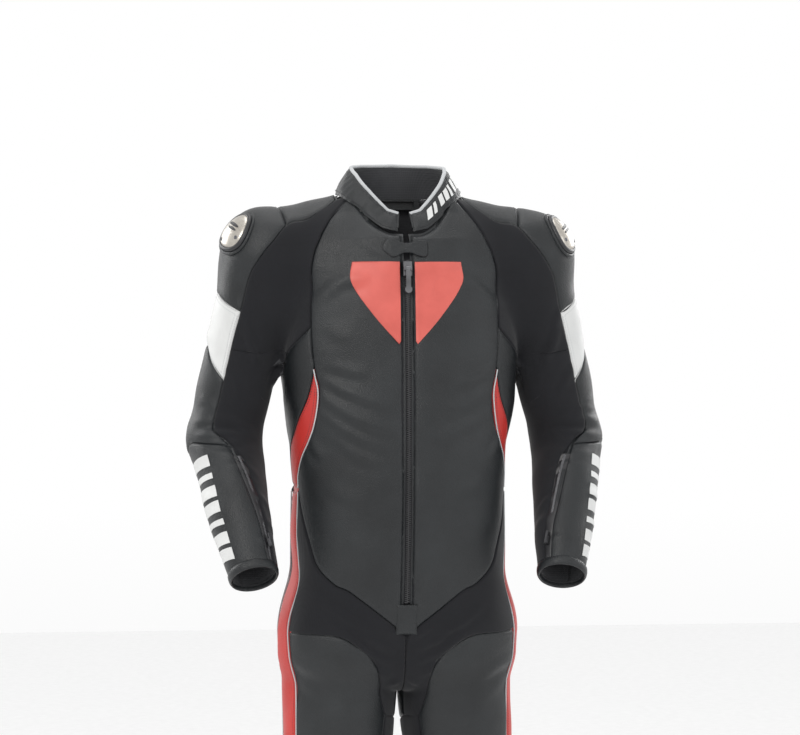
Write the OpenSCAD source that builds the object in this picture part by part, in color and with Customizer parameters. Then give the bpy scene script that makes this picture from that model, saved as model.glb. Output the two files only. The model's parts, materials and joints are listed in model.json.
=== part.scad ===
// One-piece leather riding suit, empty but holding the shape of the body it
// is cut for.  Millimetres, +Z up, the wearer faces -Y, +X is the wearer's
// left.  The origin is where the hanging loop at the back of the neck bears
// on its hook.  Every soft panel is a patch stretched between seam lines,
// laid on one body form and thickened inwards.

/* [Body form] */
// Width of the suit across the chest
chest_w = 340; // [280:5:410]
// Width of the suit across the waist
waist_w = 300; // [250:5:360]
// Width of the suit across the hips
hip_w = 304; // [270:5:395]
// Distance between the two shoulder centres
shoulder_w = 374; // [310:2:450]
// Shoulder centre to elbow
upper_arm = 256; // [212:2:310]
// Elbow to wrist
forearm = 234; // [195:2:280]
// Hip joint to knee
thigh = 398; // [330:2:478]
// Knee to ankle
shin = 392; // [325:2:470]
// Roundness of the torso section, 2 is an ellipse
torso_power = 2.5; // [2.1:0.1:3.2]

/* [Panels] */
// Thickness of leather and its backing
leather_t = 2.4; // [1.6:0.2:3.4]
// Thickness of the stretch fabric
stretch_t = 2; // [1.2:0.2:3]
// Open gap along each seam
seam = 1.8; // [1.4:0.1:2.2]
// Length of one facet of a panel
facet = 26; // [22:2:45]

/* [Main zip] */
// Radius of the curve the front zip follows in side view
zip_r = 1500; // [1200:50:2400]
// Half width of the slot between the front panels
zip_half = 8; // [6:0.5:10]
// Zip top and bottom, below the hanging loop
zip_top = -88; // [-100:1:-80]
zip_end = -566; // [-580:1:-540]

/* [Shoulder plates] */
// Radius of the metal plate on each shoulder
plate_r = 32; // [26:1:38]
// Height of the plate over the leather
plate_rise = 7; // [4:0.5:10]

/* [Hidden] */
$fn = 48;

black = [0.17, 0.19, 0.2];
fabric = [0.11, 0.11, 0.13];
white = [0.93, 0.93, 0.92];
red = [0.82, 0.2, 0.17];
metal = [0.66, 0.64, 0.6];
plastic = [0.08, 0.08, 0.09];
foam = [0.35, 0.37, 0.4];

loop = [0, 46, 0];                         // the hanging point, in body space

// ---- the body form -----------------------------------------------------
arc_y = -116;                              // furthest forward point of the zip
arc_z = -330;
shoulder = [shoulder_w / 2, 2, -88];
arm_dir = unit([60, 12, -252]);
fore_dir = unit([-32, -130, -190]);
elbow = shoulder + upper_arm * arm_dir;
wrist = elbow + forearm * fore_dir;
hip = [hip_w * 0.258, 6, -612];
thigh_dir = unit([17, -8, -398]);
shin_dir = unit([8, 26, -390]);
knee = hip + thigh * thigh_dir;
ankle = knee + shin * shin_dir;

WIDTH = [[-690, hip_w * 0.46], [-610, hip_w * 0.5], [-540, hip_w * 0.497],
  [-470, (waist_w + hip_w) / 4], [-400, waist_w / 2], [-345, waist_w / 2 + 4],
  [-285, chest_w / 2 - 7], [-215, chest_w / 2 - 1], [-150, chest_w / 2 - 2],
  [-100, chest_w * 0.44], [-60, chest_w * 0.33], [-20, chest_w * 0.182]];
BACK = [[-690, 104], [-610, 118], [-540, 114], [-470, 99], [-400, 86], [-345, 90],
  [-285, 98], [-215, 106], [-150, 108], [-100, 98], [-60, 84], [-20, 62]];

function unit(v) = v / norm(v);
function mix(a, b, t) = a + (b - a) * t;
function ease(a, b, x) = let(t = min(max((x - a) / (b - a), 0), 1)) t * t * (3 - 2 * t);
function join(a, b, k) = let(h = max(k - abs(a - b), 0) / k) min(a, b) - h * h * k / 4;
function arc_depth(z) = -arc_y - zip_r + sqrt(zip_r * zip_r - pow(z - arc_z, 2));
function front_depth(z) = arc_depth(max(min(z, -20), -690)) - 0.6 * min(max(z + 60, 0), 40);
function limb(p, a, b, ra, rb, bulge) = let(d = b - a,
  t = min(max((p - a) * d / (d * d), 0), 1))
  norm(p - a - t * d) - (ra + (rb - ra) * t + 4 * bulge * t * (1 - t));

// distance-like value of the body form at a point, below 0 inside
function form(q) = let(
  p = [abs(q[0]), q[1], q[2]], z = p[2], w = lookup(z, WIDTH),
  d = p[1] < 0 ? front_depth(z) : lookup(z, BACK),
  torso = (pow(pow(p[0] / w, torso_power) + pow(abs(p[1]) / d, torso_power),
    1 / torso_power) - 1) * min(w, d),
  trunk = -join(-torso, z + 692, 40),
  bar = limb(p, [62, 2, -47], shoulder + [-6, 0, 12], 56, 60, 0),
  arm = join(limb(p, shoulder, elbow, 59, 48, 1), limb(p, elbow, wrist, 48, 33, 3), 16),
  leg = join(limb(p, hip, knee, 84, 61, 2), limb(p, knee, ankle, 61, 43, 7), 20))
  join(join(join(trunk, bar, 45), arm, 4 + 34 * ease(-245, -130, z)), leg,
    5 + 35 * ease(-700, -640, z));
function slope(p, f) = [form(p + [1, 0, 0]) - f, form(p + [0, 1, 0]) - f, form(p + [0, 0, 1]) - f];
function settle(p, n = 3) = n == 0 ? p
  : let(f = form(p), g = slope(p, f)) settle(p - f * g / (g * g), n - 1);
function out(p) = unit(slope(p, form(p)));

// ---- places on the form ------------------------------------------------
function girth(z) = lookup(z, [[-500, hip_w / 326], [-400, waist_w / 300], [-300, chest_w / 340]]);
function side_y(x, z, d) = d * pow(max(1 - pow(min(abs(x) * girth(z) / lookup(z, WIDTH), 0.97),
  torso_power), 0.01), 1 / torso_power);
function front(x, z) = [x * girth(z), -side_y(x, z, front_depth(z)), z];
function back(x, z) = [x * girth(z), side_y(x, z, lookup(z, BACK)), z];
// angles run from the front (0) over the outside (90) to the back (180)
function around(c, ax, r, a) = let(o = unit([1, 0, 0] - ax[0] * ax), f = cross(ax, o))
  c + r * (cos(a) * f + sin(a) * o);
function trunk(a, z) = [sin(a) * lookup(z, WIDTH),
  -cos(a) * (cos(a) > 0 ? front_depth(z) : lookup(z, BACK)), z];
function arm(a, s) = around(s < upper_arm ? shoulder + s * arm_dir : elbow + (s - upper_arm) * fore_dir,
  unit(mix(arm_dir, fore_dir, ease(upper_arm - 40, upper_arm + 40, s))),
  lookup(s, [[0, 59], [upper_arm, 49], [upper_arm + forearm, 33]]), a);
function leg(a, s) = around(s < thigh ? hip + s * thigh_dir : knee + (s - thigh) * shin_dir,
  unit(mix(thigh_dir, shin_dir, ease(thigh - 40, thigh + 40, s))),
  lookup(s, [[0, 84], [thigh, 61], [thigh + shin, 43]]), a);

// ---- patches -----------------------------------------------------------
function spline(c, t) = let(n = len(c) - 1, x = t * n, i = min(floor(x), n - 1), f = x - i,
  a = c[i], b = c[i + 1], ma = (b - c[max(i - 1, 0)]) / 2, mb = (c[min(i + 2, n)] - a) / 2)
  a * (2 * f * f * f - 3 * f * f + 1) + ma * (f * f * f - 2 * f * f + f)
  + b * (3 * f * f - 2 * f * f * f) + mb * (f * f * f - f * f);
function run(c) = len(c) < 2 ? 0 : norm(c[1] - c[0]) + run([for (i = [1:len(c) - 1]) c[i]]);
function cells(c) = max(2, ceil(run(c) / facet));

// closed skin between two equal grids of points, rows first
module skin(outer, inner, ring = false) {
  r = len(outer);
  c = len(outer[0]);
  n = r * c;
  last = ring ? c : c - 1;
  flat = [for (g = [outer, inner], row = g, p = row) p];
  v = outer[0][0] - inner[0][0];
  way = cross(outer[0][1] - outer[0][0], outer[1][0] - outer[0][0]) * v > 0;
  turn = function(f) way ? [for (i = [len(f) - 1:-1:0]) f[i]] : f;
  faces = [for (i = [0:r - 2], j = [0:last - 1])
    let(k = (j + 1) % c, a = i * c + j, b = i * c + k, d = a + c, e = b + c)
    each [[a, b, e], [a, e, d], [n + a, n + e, n + b], [n + a, n + d, n + e]],
    for (j = [0:last - 1]) let(k = (j + 1) % c, d = (r - 1) * c)
    each [[j, n + j, n + k], [j, n + k, k], [d + j, d + k, n + d + k], [d + j, n + d + k, n + d + j]],
    if (!ring) for (i = [0:r - 2]) let(a = i * c, b = a + c - 1)
    each [[a, a + c, n + a + c], [a, n + a + c, n + a], [b, n + b, n + b + c], [b, n + b + c, b + c]]];
  polyhedron([for (p = flat) p], [for (f = faces) turn(f)]);
}

// panel between seam lines, its skin from off (outside) to off - t (inside)
module panel(lines, t, off = 0, gap = seam / 2, fine = facet) {
  mid = lines[floor(len(lines) / 2)];
  nv = max(2, ceil(max([for (l = lines) run(l)]) / fine));
  nu = max(2, ceil(max([for (k = [0, 0.5, 1]) run([for (l = lines) spline(l, k)])]) / fine));
  ev = min(0.3, gap / run(mid));
  points = [for (i = [0:nv]) let(v = mix(ev, 1 - ev, i / nv), row = [for (l = lines) spline(l, v)],
    eu = min(0.3, gap / run(row)))
    [for (j = [0:nu]) settle(spline(row, mix(eu, 1 - eu, j / nu)))]];
  normals = [for (row = points) [for (p = row) out(p)]];
  skin([for (i = [0:nv]) [for (j = [0:nu]) points[i][j] + off * normals[i][j]]],
    [for (i = [0:nv]) [for (j = [0:nu]) points[i][j] + (off - t) * normals[i][j]]]);
}

// round pad on the form, centred where the line from c along dir meets it
module pad(c, rx, ry, t, off, tilt = 0, n = 20, rings = 3, crown = 0) {
  q = settle(c);
  m = out(q);
  u = unit(cross([0, 0, 1], m));
  w = cross(m, u);
  grid = [for (i = [0:rings]) [for (j = [0:n - 1]) let(k = i == 0 ? 0.08 : i / rings,
    a = 360 * j / n, x = rx * k * cos(a), y = ry * k * sin(a))
    settle(q + u * (x * cos(tilt) - y * sin(tilt)) + w * (x * sin(tilt) + y * cos(tilt)))]];
  mid = out(q);
  dome(grid, q, mid, off, t, crown, n, rings);
}

module dome(grid, q, mid, off, t, crown, n, rings) {
  top = [for (i = [0:rings]) [for (p = grid[i]) p + (off + crown * (1 - pow(i / rings, 4))) * out(p)]];
  low = [for (i = [0:rings]) [for (p = grid[i]) p + (off - t) * out(p)]];
  pts = [q + (off + crown) * mid, q + (off - t) * mid, for (row = top, p = row) p, for (row = low, p = row) p];
  b = 2 + (rings + 1) * n;
  faces = [for (j = [0:n - 1]) let(k = (j + 1) % n) each [[0, 2 + k, 2 + j], [1, b + j, b + k],
    each [for (i = [0:rings - 1]) let(a = 2 + i * n, c = b + i * n) each [
      [a + j, a + k, a + n + k], [a + j, a + n + k, a + n + j],
      [c + j, c + n + k, c + k], [c + j, c + n + j, c + n + k]]],
    [b - n + j, b - n + k, b + rings * n + k], [b - n + j, b + rings * n + k, b + rings * n + j]]];
  polyhedron(pts, [for (f = faces) [f[0], f[1], f[2]]]);
}

module mirrored() { children(); mirror([1, 0, 0]) children(); }
module right() { mirror([1, 0, 0]) children(); }

// in-between seam line, t of the way from line a to line b
function between(a, b, t, n = 8) = [for (i = [0:n]) settle(mix(spline(a, i / n), spline(b, i / n), t))];
// stretch of a seam line from its point number i to its point number j
function piece(c, i, j) = let(n = 3 * (j - i)) [for (k = [0:n]) spline(c, mix(i, j, k / n) / (len(c) - 1))];
function flip(c) = [for (p = c) [-p[0], p[1], p[2]]];

// ---- seam lines, wearer's left -------------------------------------------
zip_edge = [for (z = [-54, -150, -260, -370, -480, -600]) front(zip_half / girth(z), z)];
// front panel's outer edge: collar, chest, flank, then the hem round to the zip
front_seam = [front(66, -18), front(104, -50), front(124, -88), front(131, -128), front(133, -182),
  front(129, -240), front(123, -278), front(130, -327), front(144, -372), front(150, -408),
  front(142, -480), front(133, -514), front(108, -540), front(84, -551), front(32, -588), front(12, -604)];
back_seam = [back(62, -5), back(100, -45), back(122, -88), back(132, -130), back(136, -182),
  trunk(116, -240), trunk(114, -300), trunk(112, -352), trunk(110, -404)];
red_rear = [front_seam[5], front(138, -284), front(152, -327), trunk(86, -352), trunk(98, -404)];
// where chest, sleeve and flank meet under the arm, in front, below and behind
pit_front = settle([165, -40, -218]);
pit_back = settle([165, 46, -218]);
pit_low = settle([170, 4, -248]);
pit_row = [front_seam[4], pit_front, arm(26, 132)];
pit_rear_row = [back_seam[4], pit_back, arm(-190, 110)];
// angle of the sleeve's front and back seams, s mm down from the shoulder
wrist_s = upper_arm + forearm - 10;
function front_angle(s) = lookup(s, [[20, 20], [78, 24], [132, 26], [224, 27], [262, 22],
  [300, 4], [340, -8], [390, -20], [440, -33], [480, -38]]);
function back_angle(s) = lookup(s, [[20, -200], [110, -190], [276, -200], [480, -206]]);
SLEEVE = [20, 78, 132, 176, 224, 262, 300, 345, 390, 435, wrist_s];
TOP = [0, 60, 96, 134, 180, 225, 268, 330, 380, 430, wrist_s];
REAR = [20, 72, 110, 152, 190, 235, 276, 330, 380, 430, wrist_s];
sleeve_front = [front(90, -7), [131, -50, -28], shoulder + [-22, -40, 38],
  for (s = SLEEVE) arm(front_angle(s), s)];
sleeve_top = [[93, 2, 11], [130, 2, 0], shoulder + [-17, 0, 60], shoulder + [38, 0, 42],
  for (i = [1:10]) arm(mix(94, 78, i / 10), TOP[i])];
sleeve_back = [back(84, -5), [131, 52, -26], shoulder + [-22, 42, 38],
  for (s = REAR) arm(back_angle(s), s)];
// slot for the cuff zip, degrees of the sleeve
function slot(s) = lookup(s, [[290, 0], [312, 16]]);
stripe_front = [front(150, -412), trunk(71, -470), trunk(66, -540), leg(60, 0), leg(56, 90), leg(56, 200), leg(58, 330)];
stripe_rear = [trunk(99, -412), trunk(98, -470), trunk(97, -540), leg(98, 0), leg(98, 90), leg(98, 200), leg(96, 330)];
thigh_top = [stripe_front[3], front(104, -610), front(74, -624), front(45, -652), leg(-50, 112), leg(-64, 114.5), leg(-78, 116)];
under_seat = [stripe_rear[4], leg(106, 108), leg(122, 120), leg(145, 128), leg(190, 136), leg(240, 128), leg(282, 116)];
seat_edge = concat(piece(stripe_rear, 1, 4), [for (i = [1:6]) under_seat[i]]);
ankle_s = thigh + shin - 8;
knee_line = [leg(-48, thigh - 33), leg(0, thigh - 35), leg(48, thigh - 35), leg(96, thigh - 26)];
SHIN = [[186, 87], [246, 61], [282, 15], [298, -12], [312, -30], [360, -33], [408, -33], [456, -23], [480, 4], [502, 38], [534, 85]];

// ---- torso ---------------------------------------------------------------
// the line t of the way from seam a to seam b, starting exactly at p
function from(p, a, b, t) = let(c = between(a, b, t, 14)) concat([p], [for (i = [1:14]) c[i]]);
module half_front() {
  color(black) panel([zip_edge, from(front(27, -52), zip_edge, front_seam, 0.35),
    from(front(48, -39), zip_edge, front_seam, 0.7), front_seam], leather_t);
}
module front_panel_left() { half_front(); }
module front_panel_right() { right() half_front(); }

module side_panels() {
  color(red) mirrored() panel([piece(front_seam, 5, 9), between(piece(front_seam, 5, 9), red_rear, 0.5),
    red_rear], leather_t);
}

module underarm_panels() {
  color(black) mirrored() panel([
    concat(piece(front_seam, 4, 5), [for (p = piece(red_rear, 0, 4)) if (p != red_rear[0]) p]),
    [spline(pit_row, 0.25), trunk(62, -275), trunk(88, -345), trunk(99.5, -404)],
    [pit_front, trunk(74, -300), trunk(93, -350), trunk(101, -404)],
    [pit_low, trunk(94, -320), trunk(103.5, -404)],
    [pit_back, trunk(108, -310), trunk(107, -404)],
    [spline(pit_rear_row, 0.25), trunk(116, -300), trunk(109, -404)],
    piece(back_seam, 4, 8)], leather_t, gap = 1.4);
}

module back_panel() {
  centre = [for (z = [-5, -60, -120, -180, -240, -300, -350, -404]) back(0, z)];
  mid = between(centre, back_seam, 0.55, 10);
  color(black) panel([flip(back_seam), flip(mid), centre, mid, back_seam], leather_t, gap = 1.5);
}

module lumbar_stretch() {
  angles = [99, 110, 135, 160, 180, 200, 225, 250, 261];
  color(fabric) panel([for (a = angles) [trunk(a, -405), trunk(a, -436), trunk(a, -468)]], stretch_t, gap = 1.3);
}

module seat_panel() {
  crease = [back(1.2, -468), back(1, -520), back(1, -575), back(1, -630), back(1, -668), [1, 40, -690], [1, -24, -693]];
  color(black) mirrored() panel([crease, from(trunk(155, -468), crease, seat_edge, 0.34),
    from(trunk(125, -468), crease, seat_edge, 0.67), seat_edge], leather_t, gap = 1.3, fine = 30);
}

module hip_stretch() {
  upper = concat([for (k = [9:15]) front_seam[k]],
    [front(4, -610), front(1, -625), front(1, -650), front(1, -672), [1, -24, -693]]);
  lower = concat([for (k = [0, 1, 2, 2.85]) spline(stripe_front, k / 6)],
    [for (k = [0.15, 1, 2, 3, 3.4, 3.7, 4, 5, 6]) spline(thigh_top, k / 6)]);
  color(fabric) mirrored() panel([upper, between(upper, lower, 0.5, 24), lower], stretch_t, gap = 2.6, fine = 22);
}

// collar: a stands for the direction round the neck, h for the height on it
COLLAR_Z = [[0, -50], [20, -44], [45, -12], [70, 5], [90, 14], [135, 5], [180, 0]];
RIM_Z = [[0, -27], [20, -20], [45, 8], [70, 32], [90, 43], [135, 48], [180, 50]];
function collar_at(a, h, off) = let(b = a > 180 ? 360 - a : a,
  low = settle([92 * sin(a), -(cos(a) > 0 ? 84 : 62) * cos(a), lookup(b, COLLAR_Z)]),
  rim = [67 * sin(a), -(cos(a) > 0 ? 66 : 60) * cos(a), lookup(b, RIM_Z)])
  mix(low, rim, h) + off * [sin(a), -cos(a), 0.2];
COLLAR = [for (i = [0:36]) mix(7, 353, i / 36)];
module collar() {
  grid = function(off) [for (h = [0.11, 0.55, 1]) [for (a = COLLAR) collar_at(a, h, off)]];
  color(black) skin(grid(2), grid(-2));
}
module collar_binding() {
  grid = function(off) [for (h = [1.015, 1.1]) [for (a = COLLAR) collar_at(a, h, off)]];
  color([0.7, 0.71, 0.72]) skin(grid(2.4), grid(-3));
}

// strip that follows the curve of the zip, depths measured inwards
module arc_strip(x0, x1, d0, d1, z0, z1) {
  top = asin((z0 - arc_z) / zip_r);
  low = asin((z1 - arc_z) / zip_r);
  translate([x0, arc_y + zip_r, arc_z]) rotate([0, 90, 0]) rotate([0, 0, 270 - top])
    rotate_extrude(angle = top - low, $fn = 400) translate([zip_r - d1, 0]) square([d1 - d0, x1 - x0]);
}
// places children at height z on the zip's curve, -Y pointing out
module on_arc(z) {
  translate([0, arc_y + zip_r, arc_z]) rotate([-asin((z - arc_z) / zip_r), 0, 0])
    translate([0, -zip_r, 0]) children();
}
module storm_flap() { color(plastic) arc_strip(-15, 15, 8, 9.4, -62, -572); }
module zip_stringers() {
  color(plastic) mirrored() {
    arc_strip(1.2, 14, 3.6, 4.8, zip_top, zip_end);
    arc_strip(0.5, 3.4, 0, 4, zip_top, zip_end);
  }
}
module zip_garage() { color(black) arc_strip(-15, 15, -3.4, -1.4, zip_end - 4, zip_end - 42); }
module chest_badge() {
  inner = [for (z = [-92, -130, -165, -202]) front(11, z)];
  outer = [front(76, -92), front(77, -122), front(48, -166), front(13, -206)];
  color(red) mirrored() panel([inner, between(inner, outer, 0.5, 4), outer], 1.1, off = 2, fine = 18);
}

slider_z = zip_top - 14;
module zip_slider() {
  color(metal) on_arc(slider_z) {
    translate([-6, -4.6, -10]) cube([12, 4.2, 20]);
    for (x = [-5.5, 3.7]) translate([x, -9.5, -3]) cube([1.8, 5.5, 6]);
    translate([-5, -8.2, 0]) rotate([0, 90, 0]) cylinder(d = 2, h = 10);
  }
}
module zip_pull() {
  color(metal) on_arc(slider_z) translate([0, -8.2, 0]) difference() {
    union() {
      translate([-3.2, 0, 0]) rotate([0, 90, 0]) cylinder(d = 5.4, h = 6.4);
      translate([-3.2, -1.2, -30]) cube([6.4, 2.2, 30]);
      translate([0, 1, -30]) rotate([90, 0, 0]) cylinder(d = 10, h = 2.2);
    }
    translate([-4, 0, 0]) rotate([0, 90, 0]) cylinder(d = 2.5, h = 8);
  }
}
module collar_tab() {
  color(black) on_arc(-73) translate([0, -2, 0]) rotate([90, 0, 0]) linear_extrude(3.2)
    polygon([[29, 12], [29, -13], [14, -11], [6, -7], [-6, -7], [-20, -15], [-34, -4],
      [-35, 3], [-30, 12], [-22, 14], [-6, 7], [6, 7], [14, 11]]);
}
module hang_loop() {
  color(black) translate(loop) difference() {
    translate([-38, 0, -12]) cube([76, 8, 15]);
    translate([-30, -1, -9]) cube([60, 7, 9]);
  }
}
module torso_lining() {
  rows = [for (z = [-275, -315, -355, -395, -435, -475, -515, -556])
    [for (i = [0:27]) settle(trunk(mix(10, 350, i / 27), z))]];
  grid = function(off) [for (r = rows) [for (p = r) p - off * out(p)]];
  color([0.3, 0.3, 0.32]) skin(grid(6.5), grid(8));
}

// ---- sleeves, wearer's left ------------------------------------------------
module sleeve_piece(i, j, shade, t) {
  f = piece(sleeve_front, i, j);
  m = piece(sleeve_top, i, j);
  b = piece(sleeve_back, i, j);
  color(shade) panel([f, between(f, m, 0.5, 6), m, between(m, b, 0.5, 6), b], t, gap = 1.2, fine = 21);
}
module yoke() { sleeve_piece(0, 2, black, leather_t); }
module shoulder_cap() { sleeve_piece(2, 4, black, leather_t); }
module sleeve_band() { sleeve_piece(4, 6, white, leather_t); }
module elbow_panel() { sleeve_piece(6, 9, black, leather_t); }
module forearm_panel() { sleeve_piece(9, 13, black, leather_t); }

module shoulder_stretch() {
  color(fabric) {
    panel([piece(front_seam, 0, 4),
      [front(77, -11), front(118, -40), [148, -64, -84], [164, -60, -140], [166, -50, -186], pit_front],
      piece(sleeve_front, 0, 5)], stretch_t, gap = 1.4, fine = 20);
    panel([piece(back_seam, 0, 4),
      [back(74, -5), [116, 74, -40], [148, 74, -84], [166, 68, -140], [166, 54, -186], pit_back],
      piece(sleeve_back, 0, 5)], stretch_t, gap = 1.4, fine = 20);
  }
}
// inner and under side of the sleeve, from the armpit to the cuff
module arm_stretch() {
  tops = [arm(26, 132), spline(pit_row, 0.75), pit_front, pit_low, pit_back,
    spline(pit_rear_row, 0.75), arm(-190, 110)];
  starts = [132, 150, 176, 190, 176, 140, 110];
  line = function(k) let(n = 9) concat([tops[k]], [for (i = [1:n]) let(s = mix(starts[k], wrist_s, i / n))
    arm(mix(front_angle(s) - slot(s), back_angle(s), k / 6), s)]);
  color(fabric) panel([for (k = [0:6]) line(k)], stretch_t, gap = 3);
}
module shoulder_plate() {
  color(metal) pad(shoulder + [42, -26, 36], plate_r, plate_r, plate_rise - 4, plate_rise - 3, crown = 3);
}
module shoulder_armour() { color(foam) pad(shoulder + [45, 6, 30], 38, 44, 6, -7); }
module elbow_armour() { color(foam) pad(arm(118, upper_arm + 6), 27, 40, 5, -9); }
module cuff_binding() {
  ring = [for (s = [wrist_s + 2.5, wrist_s + 10]) [for (i = [0:23]) settle(arm(360 * i / 24, s))]];
  grid = function(off) [for (r = ring) [for (p = r) p + off * out(p)]];
  color(black) skin(grid(1.2), grid(-2.6), ring = true);
}
module cuff_zip() {
  edge = function(k) [for (s = [324, 350, 390, 430, wrist_s]) arm(front_angle(s) - 8 + k, s)];
  color(plastic) panel([edge(4), edge(-4)], 1.6, off = -0.4);
}
// small slider on a straight zip from point a to point b, riding clear of the tape
module slider_at(a, b, lift) {
  p = settle(a);
  q = settle(b);
  z = unit(q - p);
  y = unit(cross(z, cross(out(p), z)));
  x = cross(y, z);
  color(metal) multmatrix([for (i = [0:2]) [x[i], y[i], z[i], p[i]]]) {
    translate([-3, lift, 0]) cube([6, 3, 11]);
    translate([-2, lift + 3, 1]) cube([4, 1.4, 18]);
  }
}
function cuff_path(s) = arm(front_angle(s) - 8, s);
module cuff_slider() { slider_at(cuff_path(wrist_s - 22), cuff_path(340), 2.4); }

// ---- legs, wearer's left ---------------------------------------------------
module thigh_panel() {
  line = function(top, a) concat([top], [for (k = [1:4]) leg(a, mix(112, thigh - 64, k / 4))]);
  color(black) panel([for (k = [[4, -48], [3.6, -43], [3.2, -36], [3, -30], [2.5, -14], [2, 4], [1, 40]])
    line(spline(thigh_top, k[0] / 6), k[1]), piece(stripe_front, 3, 6)], leather_t, gap = 3.8);
}
module side_stripe() {
  color(red) panel([stripe_front, stripe_rear], leather_t);
}
module leg_stretch() {
  color(fabric) {
    panel([concat(piece(stripe_rear, 4, 6), [leg(96, thigh - 24)]),
      for (k = [[1, 106, -20], [2, 120, 0], [3, 142, 36], [4, 186, 84], [5, 246, 58], [6, 282, 12]])
        [under_seat[k[0]], leg(k[1], 260), leg(k[1], thigh + k[2])],
      [leg(-64, 114.5), leg(-64, 260), leg(-62, thigh - 14)],
      [leg(-50, 112), leg(-49, 230), leg(-48, thigh - 33)]], stretch_t, gap = 1.5, fine = 30);
    panel([for (k = [0:3]) let(a = [-48, 0, 48, 96][k]) [leg(a, thigh - 63), knee_line[k]]],
      stretch_t, gap = 1.1);
  }
}
module shin_panel() {
  color(black) panel([for (k = SHIN) let(s = thigh + k[1])
    [for (i = [0:5]) leg(k[0], mix(s, ankle_s, i / 5))]], leather_t, gap = 1.3, fine = 36);
}
module knee_armour() { color(foam) pad(leg(8, thigh + 28), 34, 48, 6, -8.5); }
module calf_zip() {
  edge = function(a) [for (k = [0:4]) leg(a, mix(thigh + 88, ankle_s, k / 4))];
  color(plastic) panel([edge(183.6), edge(176.4)], 1.6, off = -0.4);
}
function calf_path(s) = leg(180, s);
module calf_slider() { slider_at(calf_path(ankle_s - 14), calf_path(ankle_s - 170), 1.2); }

// ---- the whole suit, moved so that the hanging point is the origin -----------
module hung() { translate(-loop) children(); }
hung() front_panel_left();
hung() front_panel_right();
hung() side_panels();
hung() underarm_panels();
hung() back_panel();
hung() lumbar_stretch();
hung() seat_panel();
hung() hip_stretch();
hung() collar();
hung() collar_binding();
hung() storm_flap();
hung() zip_stringers();
hung() zip_garage();
hung() chest_badge();
hung() hang_loop();
hung() torso_lining();
hung() zip_slider();
hung() zip_pull();
hung() collar_tab();
hung() yoke();  // yoke_left
hung() shoulder_stretch();  // shoulder_stretch_left
hung() shoulder_cap();  // shoulder_cap_left
hung() shoulder_plate();  // shoulder_plate_left
hung() shoulder_armour();  // shoulder_armour_left
hung() sleeve_band();  // sleeve_band_left
hung() elbow_panel();  // elbow_panel_left
hung() arm_stretch();  // arm_stretch_left
hung() forearm_panel();  // forearm_panel_left
hung() cuff_binding();  // cuff_binding_left
hung() cuff_zip();  // cuff_zip_left
hung() elbow_armour();  // elbow_armour_left
hung() cuff_slider();  // cuff_slider_left
hung() thigh_panel();  // thigh_panel_left
hung() side_stripe();  // side_stripe_left
hung() leg_stretch();  // leg_stretch_left
hung() shin_panel();  // shin_panel_left
hung() knee_armour();  // knee_armour_left
hung() calf_zip();  // calf_zip_left
hung() calf_slider();  // calf_slider_left
hung() right() yoke();  // yoke_right
hung() right() shoulder_stretch();  // shoulder_stretch_right
hung() right() shoulder_cap();  // shoulder_cap_right
hung() right() shoulder_plate();  // shoulder_plate_right
hung() right() shoulder_armour();  // shoulder_armour_right
hung() right() sleeve_band();  // sleeve_band_right
hung() right() elbow_panel();  // elbow_panel_right
hung() right() arm_stretch();  // arm_stretch_right
hung() right() forearm_panel();  // forearm_panel_right
hung() right() cuff_binding();  // cuff_binding_right
hung() right() cuff_zip();  // cuff_zip_right
hung() right() elbow_armour();  // elbow_armour_right
hung() right() cuff_slider();  // cuff_slider_right
hung() right() thigh_panel();  // thigh_panel_right
hung() right() side_stripe();  // side_stripe_right
hung() right() leg_stretch();  // leg_stretch_right
hung() right() shin_panel();  // shin_panel_right
hung() right() knee_armour();  // knee_armour_right
hung() right() calf_zip();  // calf_zip_right
hung() right() calf_slider();  // calf_slider_right
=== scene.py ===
# One-piece leather riding suit: looks for every panel, zip, plate and binding.
# Lengths are worked in millimetres in body space and moved to the frame at the end.
import json
import numpy as np
import bpy
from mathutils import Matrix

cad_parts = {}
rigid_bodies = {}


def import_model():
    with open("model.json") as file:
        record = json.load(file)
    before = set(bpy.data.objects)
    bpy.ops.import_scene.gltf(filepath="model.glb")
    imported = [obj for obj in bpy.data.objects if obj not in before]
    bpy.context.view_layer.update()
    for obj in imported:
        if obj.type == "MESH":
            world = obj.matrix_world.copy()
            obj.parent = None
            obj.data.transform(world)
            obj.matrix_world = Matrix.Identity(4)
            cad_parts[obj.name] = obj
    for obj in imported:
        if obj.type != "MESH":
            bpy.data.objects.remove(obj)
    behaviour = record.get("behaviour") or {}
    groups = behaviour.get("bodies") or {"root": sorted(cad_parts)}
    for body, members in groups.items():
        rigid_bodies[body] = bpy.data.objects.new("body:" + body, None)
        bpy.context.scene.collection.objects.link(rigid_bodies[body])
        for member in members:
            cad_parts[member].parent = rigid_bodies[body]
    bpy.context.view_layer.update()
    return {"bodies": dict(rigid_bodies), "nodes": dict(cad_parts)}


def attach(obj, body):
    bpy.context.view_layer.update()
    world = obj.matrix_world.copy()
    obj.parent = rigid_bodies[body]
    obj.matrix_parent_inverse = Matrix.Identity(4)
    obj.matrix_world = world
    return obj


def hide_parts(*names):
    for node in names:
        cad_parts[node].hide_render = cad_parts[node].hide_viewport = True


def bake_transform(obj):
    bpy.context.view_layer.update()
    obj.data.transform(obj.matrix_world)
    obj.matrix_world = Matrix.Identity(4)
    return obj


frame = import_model()
hungAt = np.array([0.0, 46.0, 0.0])  # the loop's bearing point in body space
print("frame loaded:", len(frame["nodes"]), "nodes")

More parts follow.
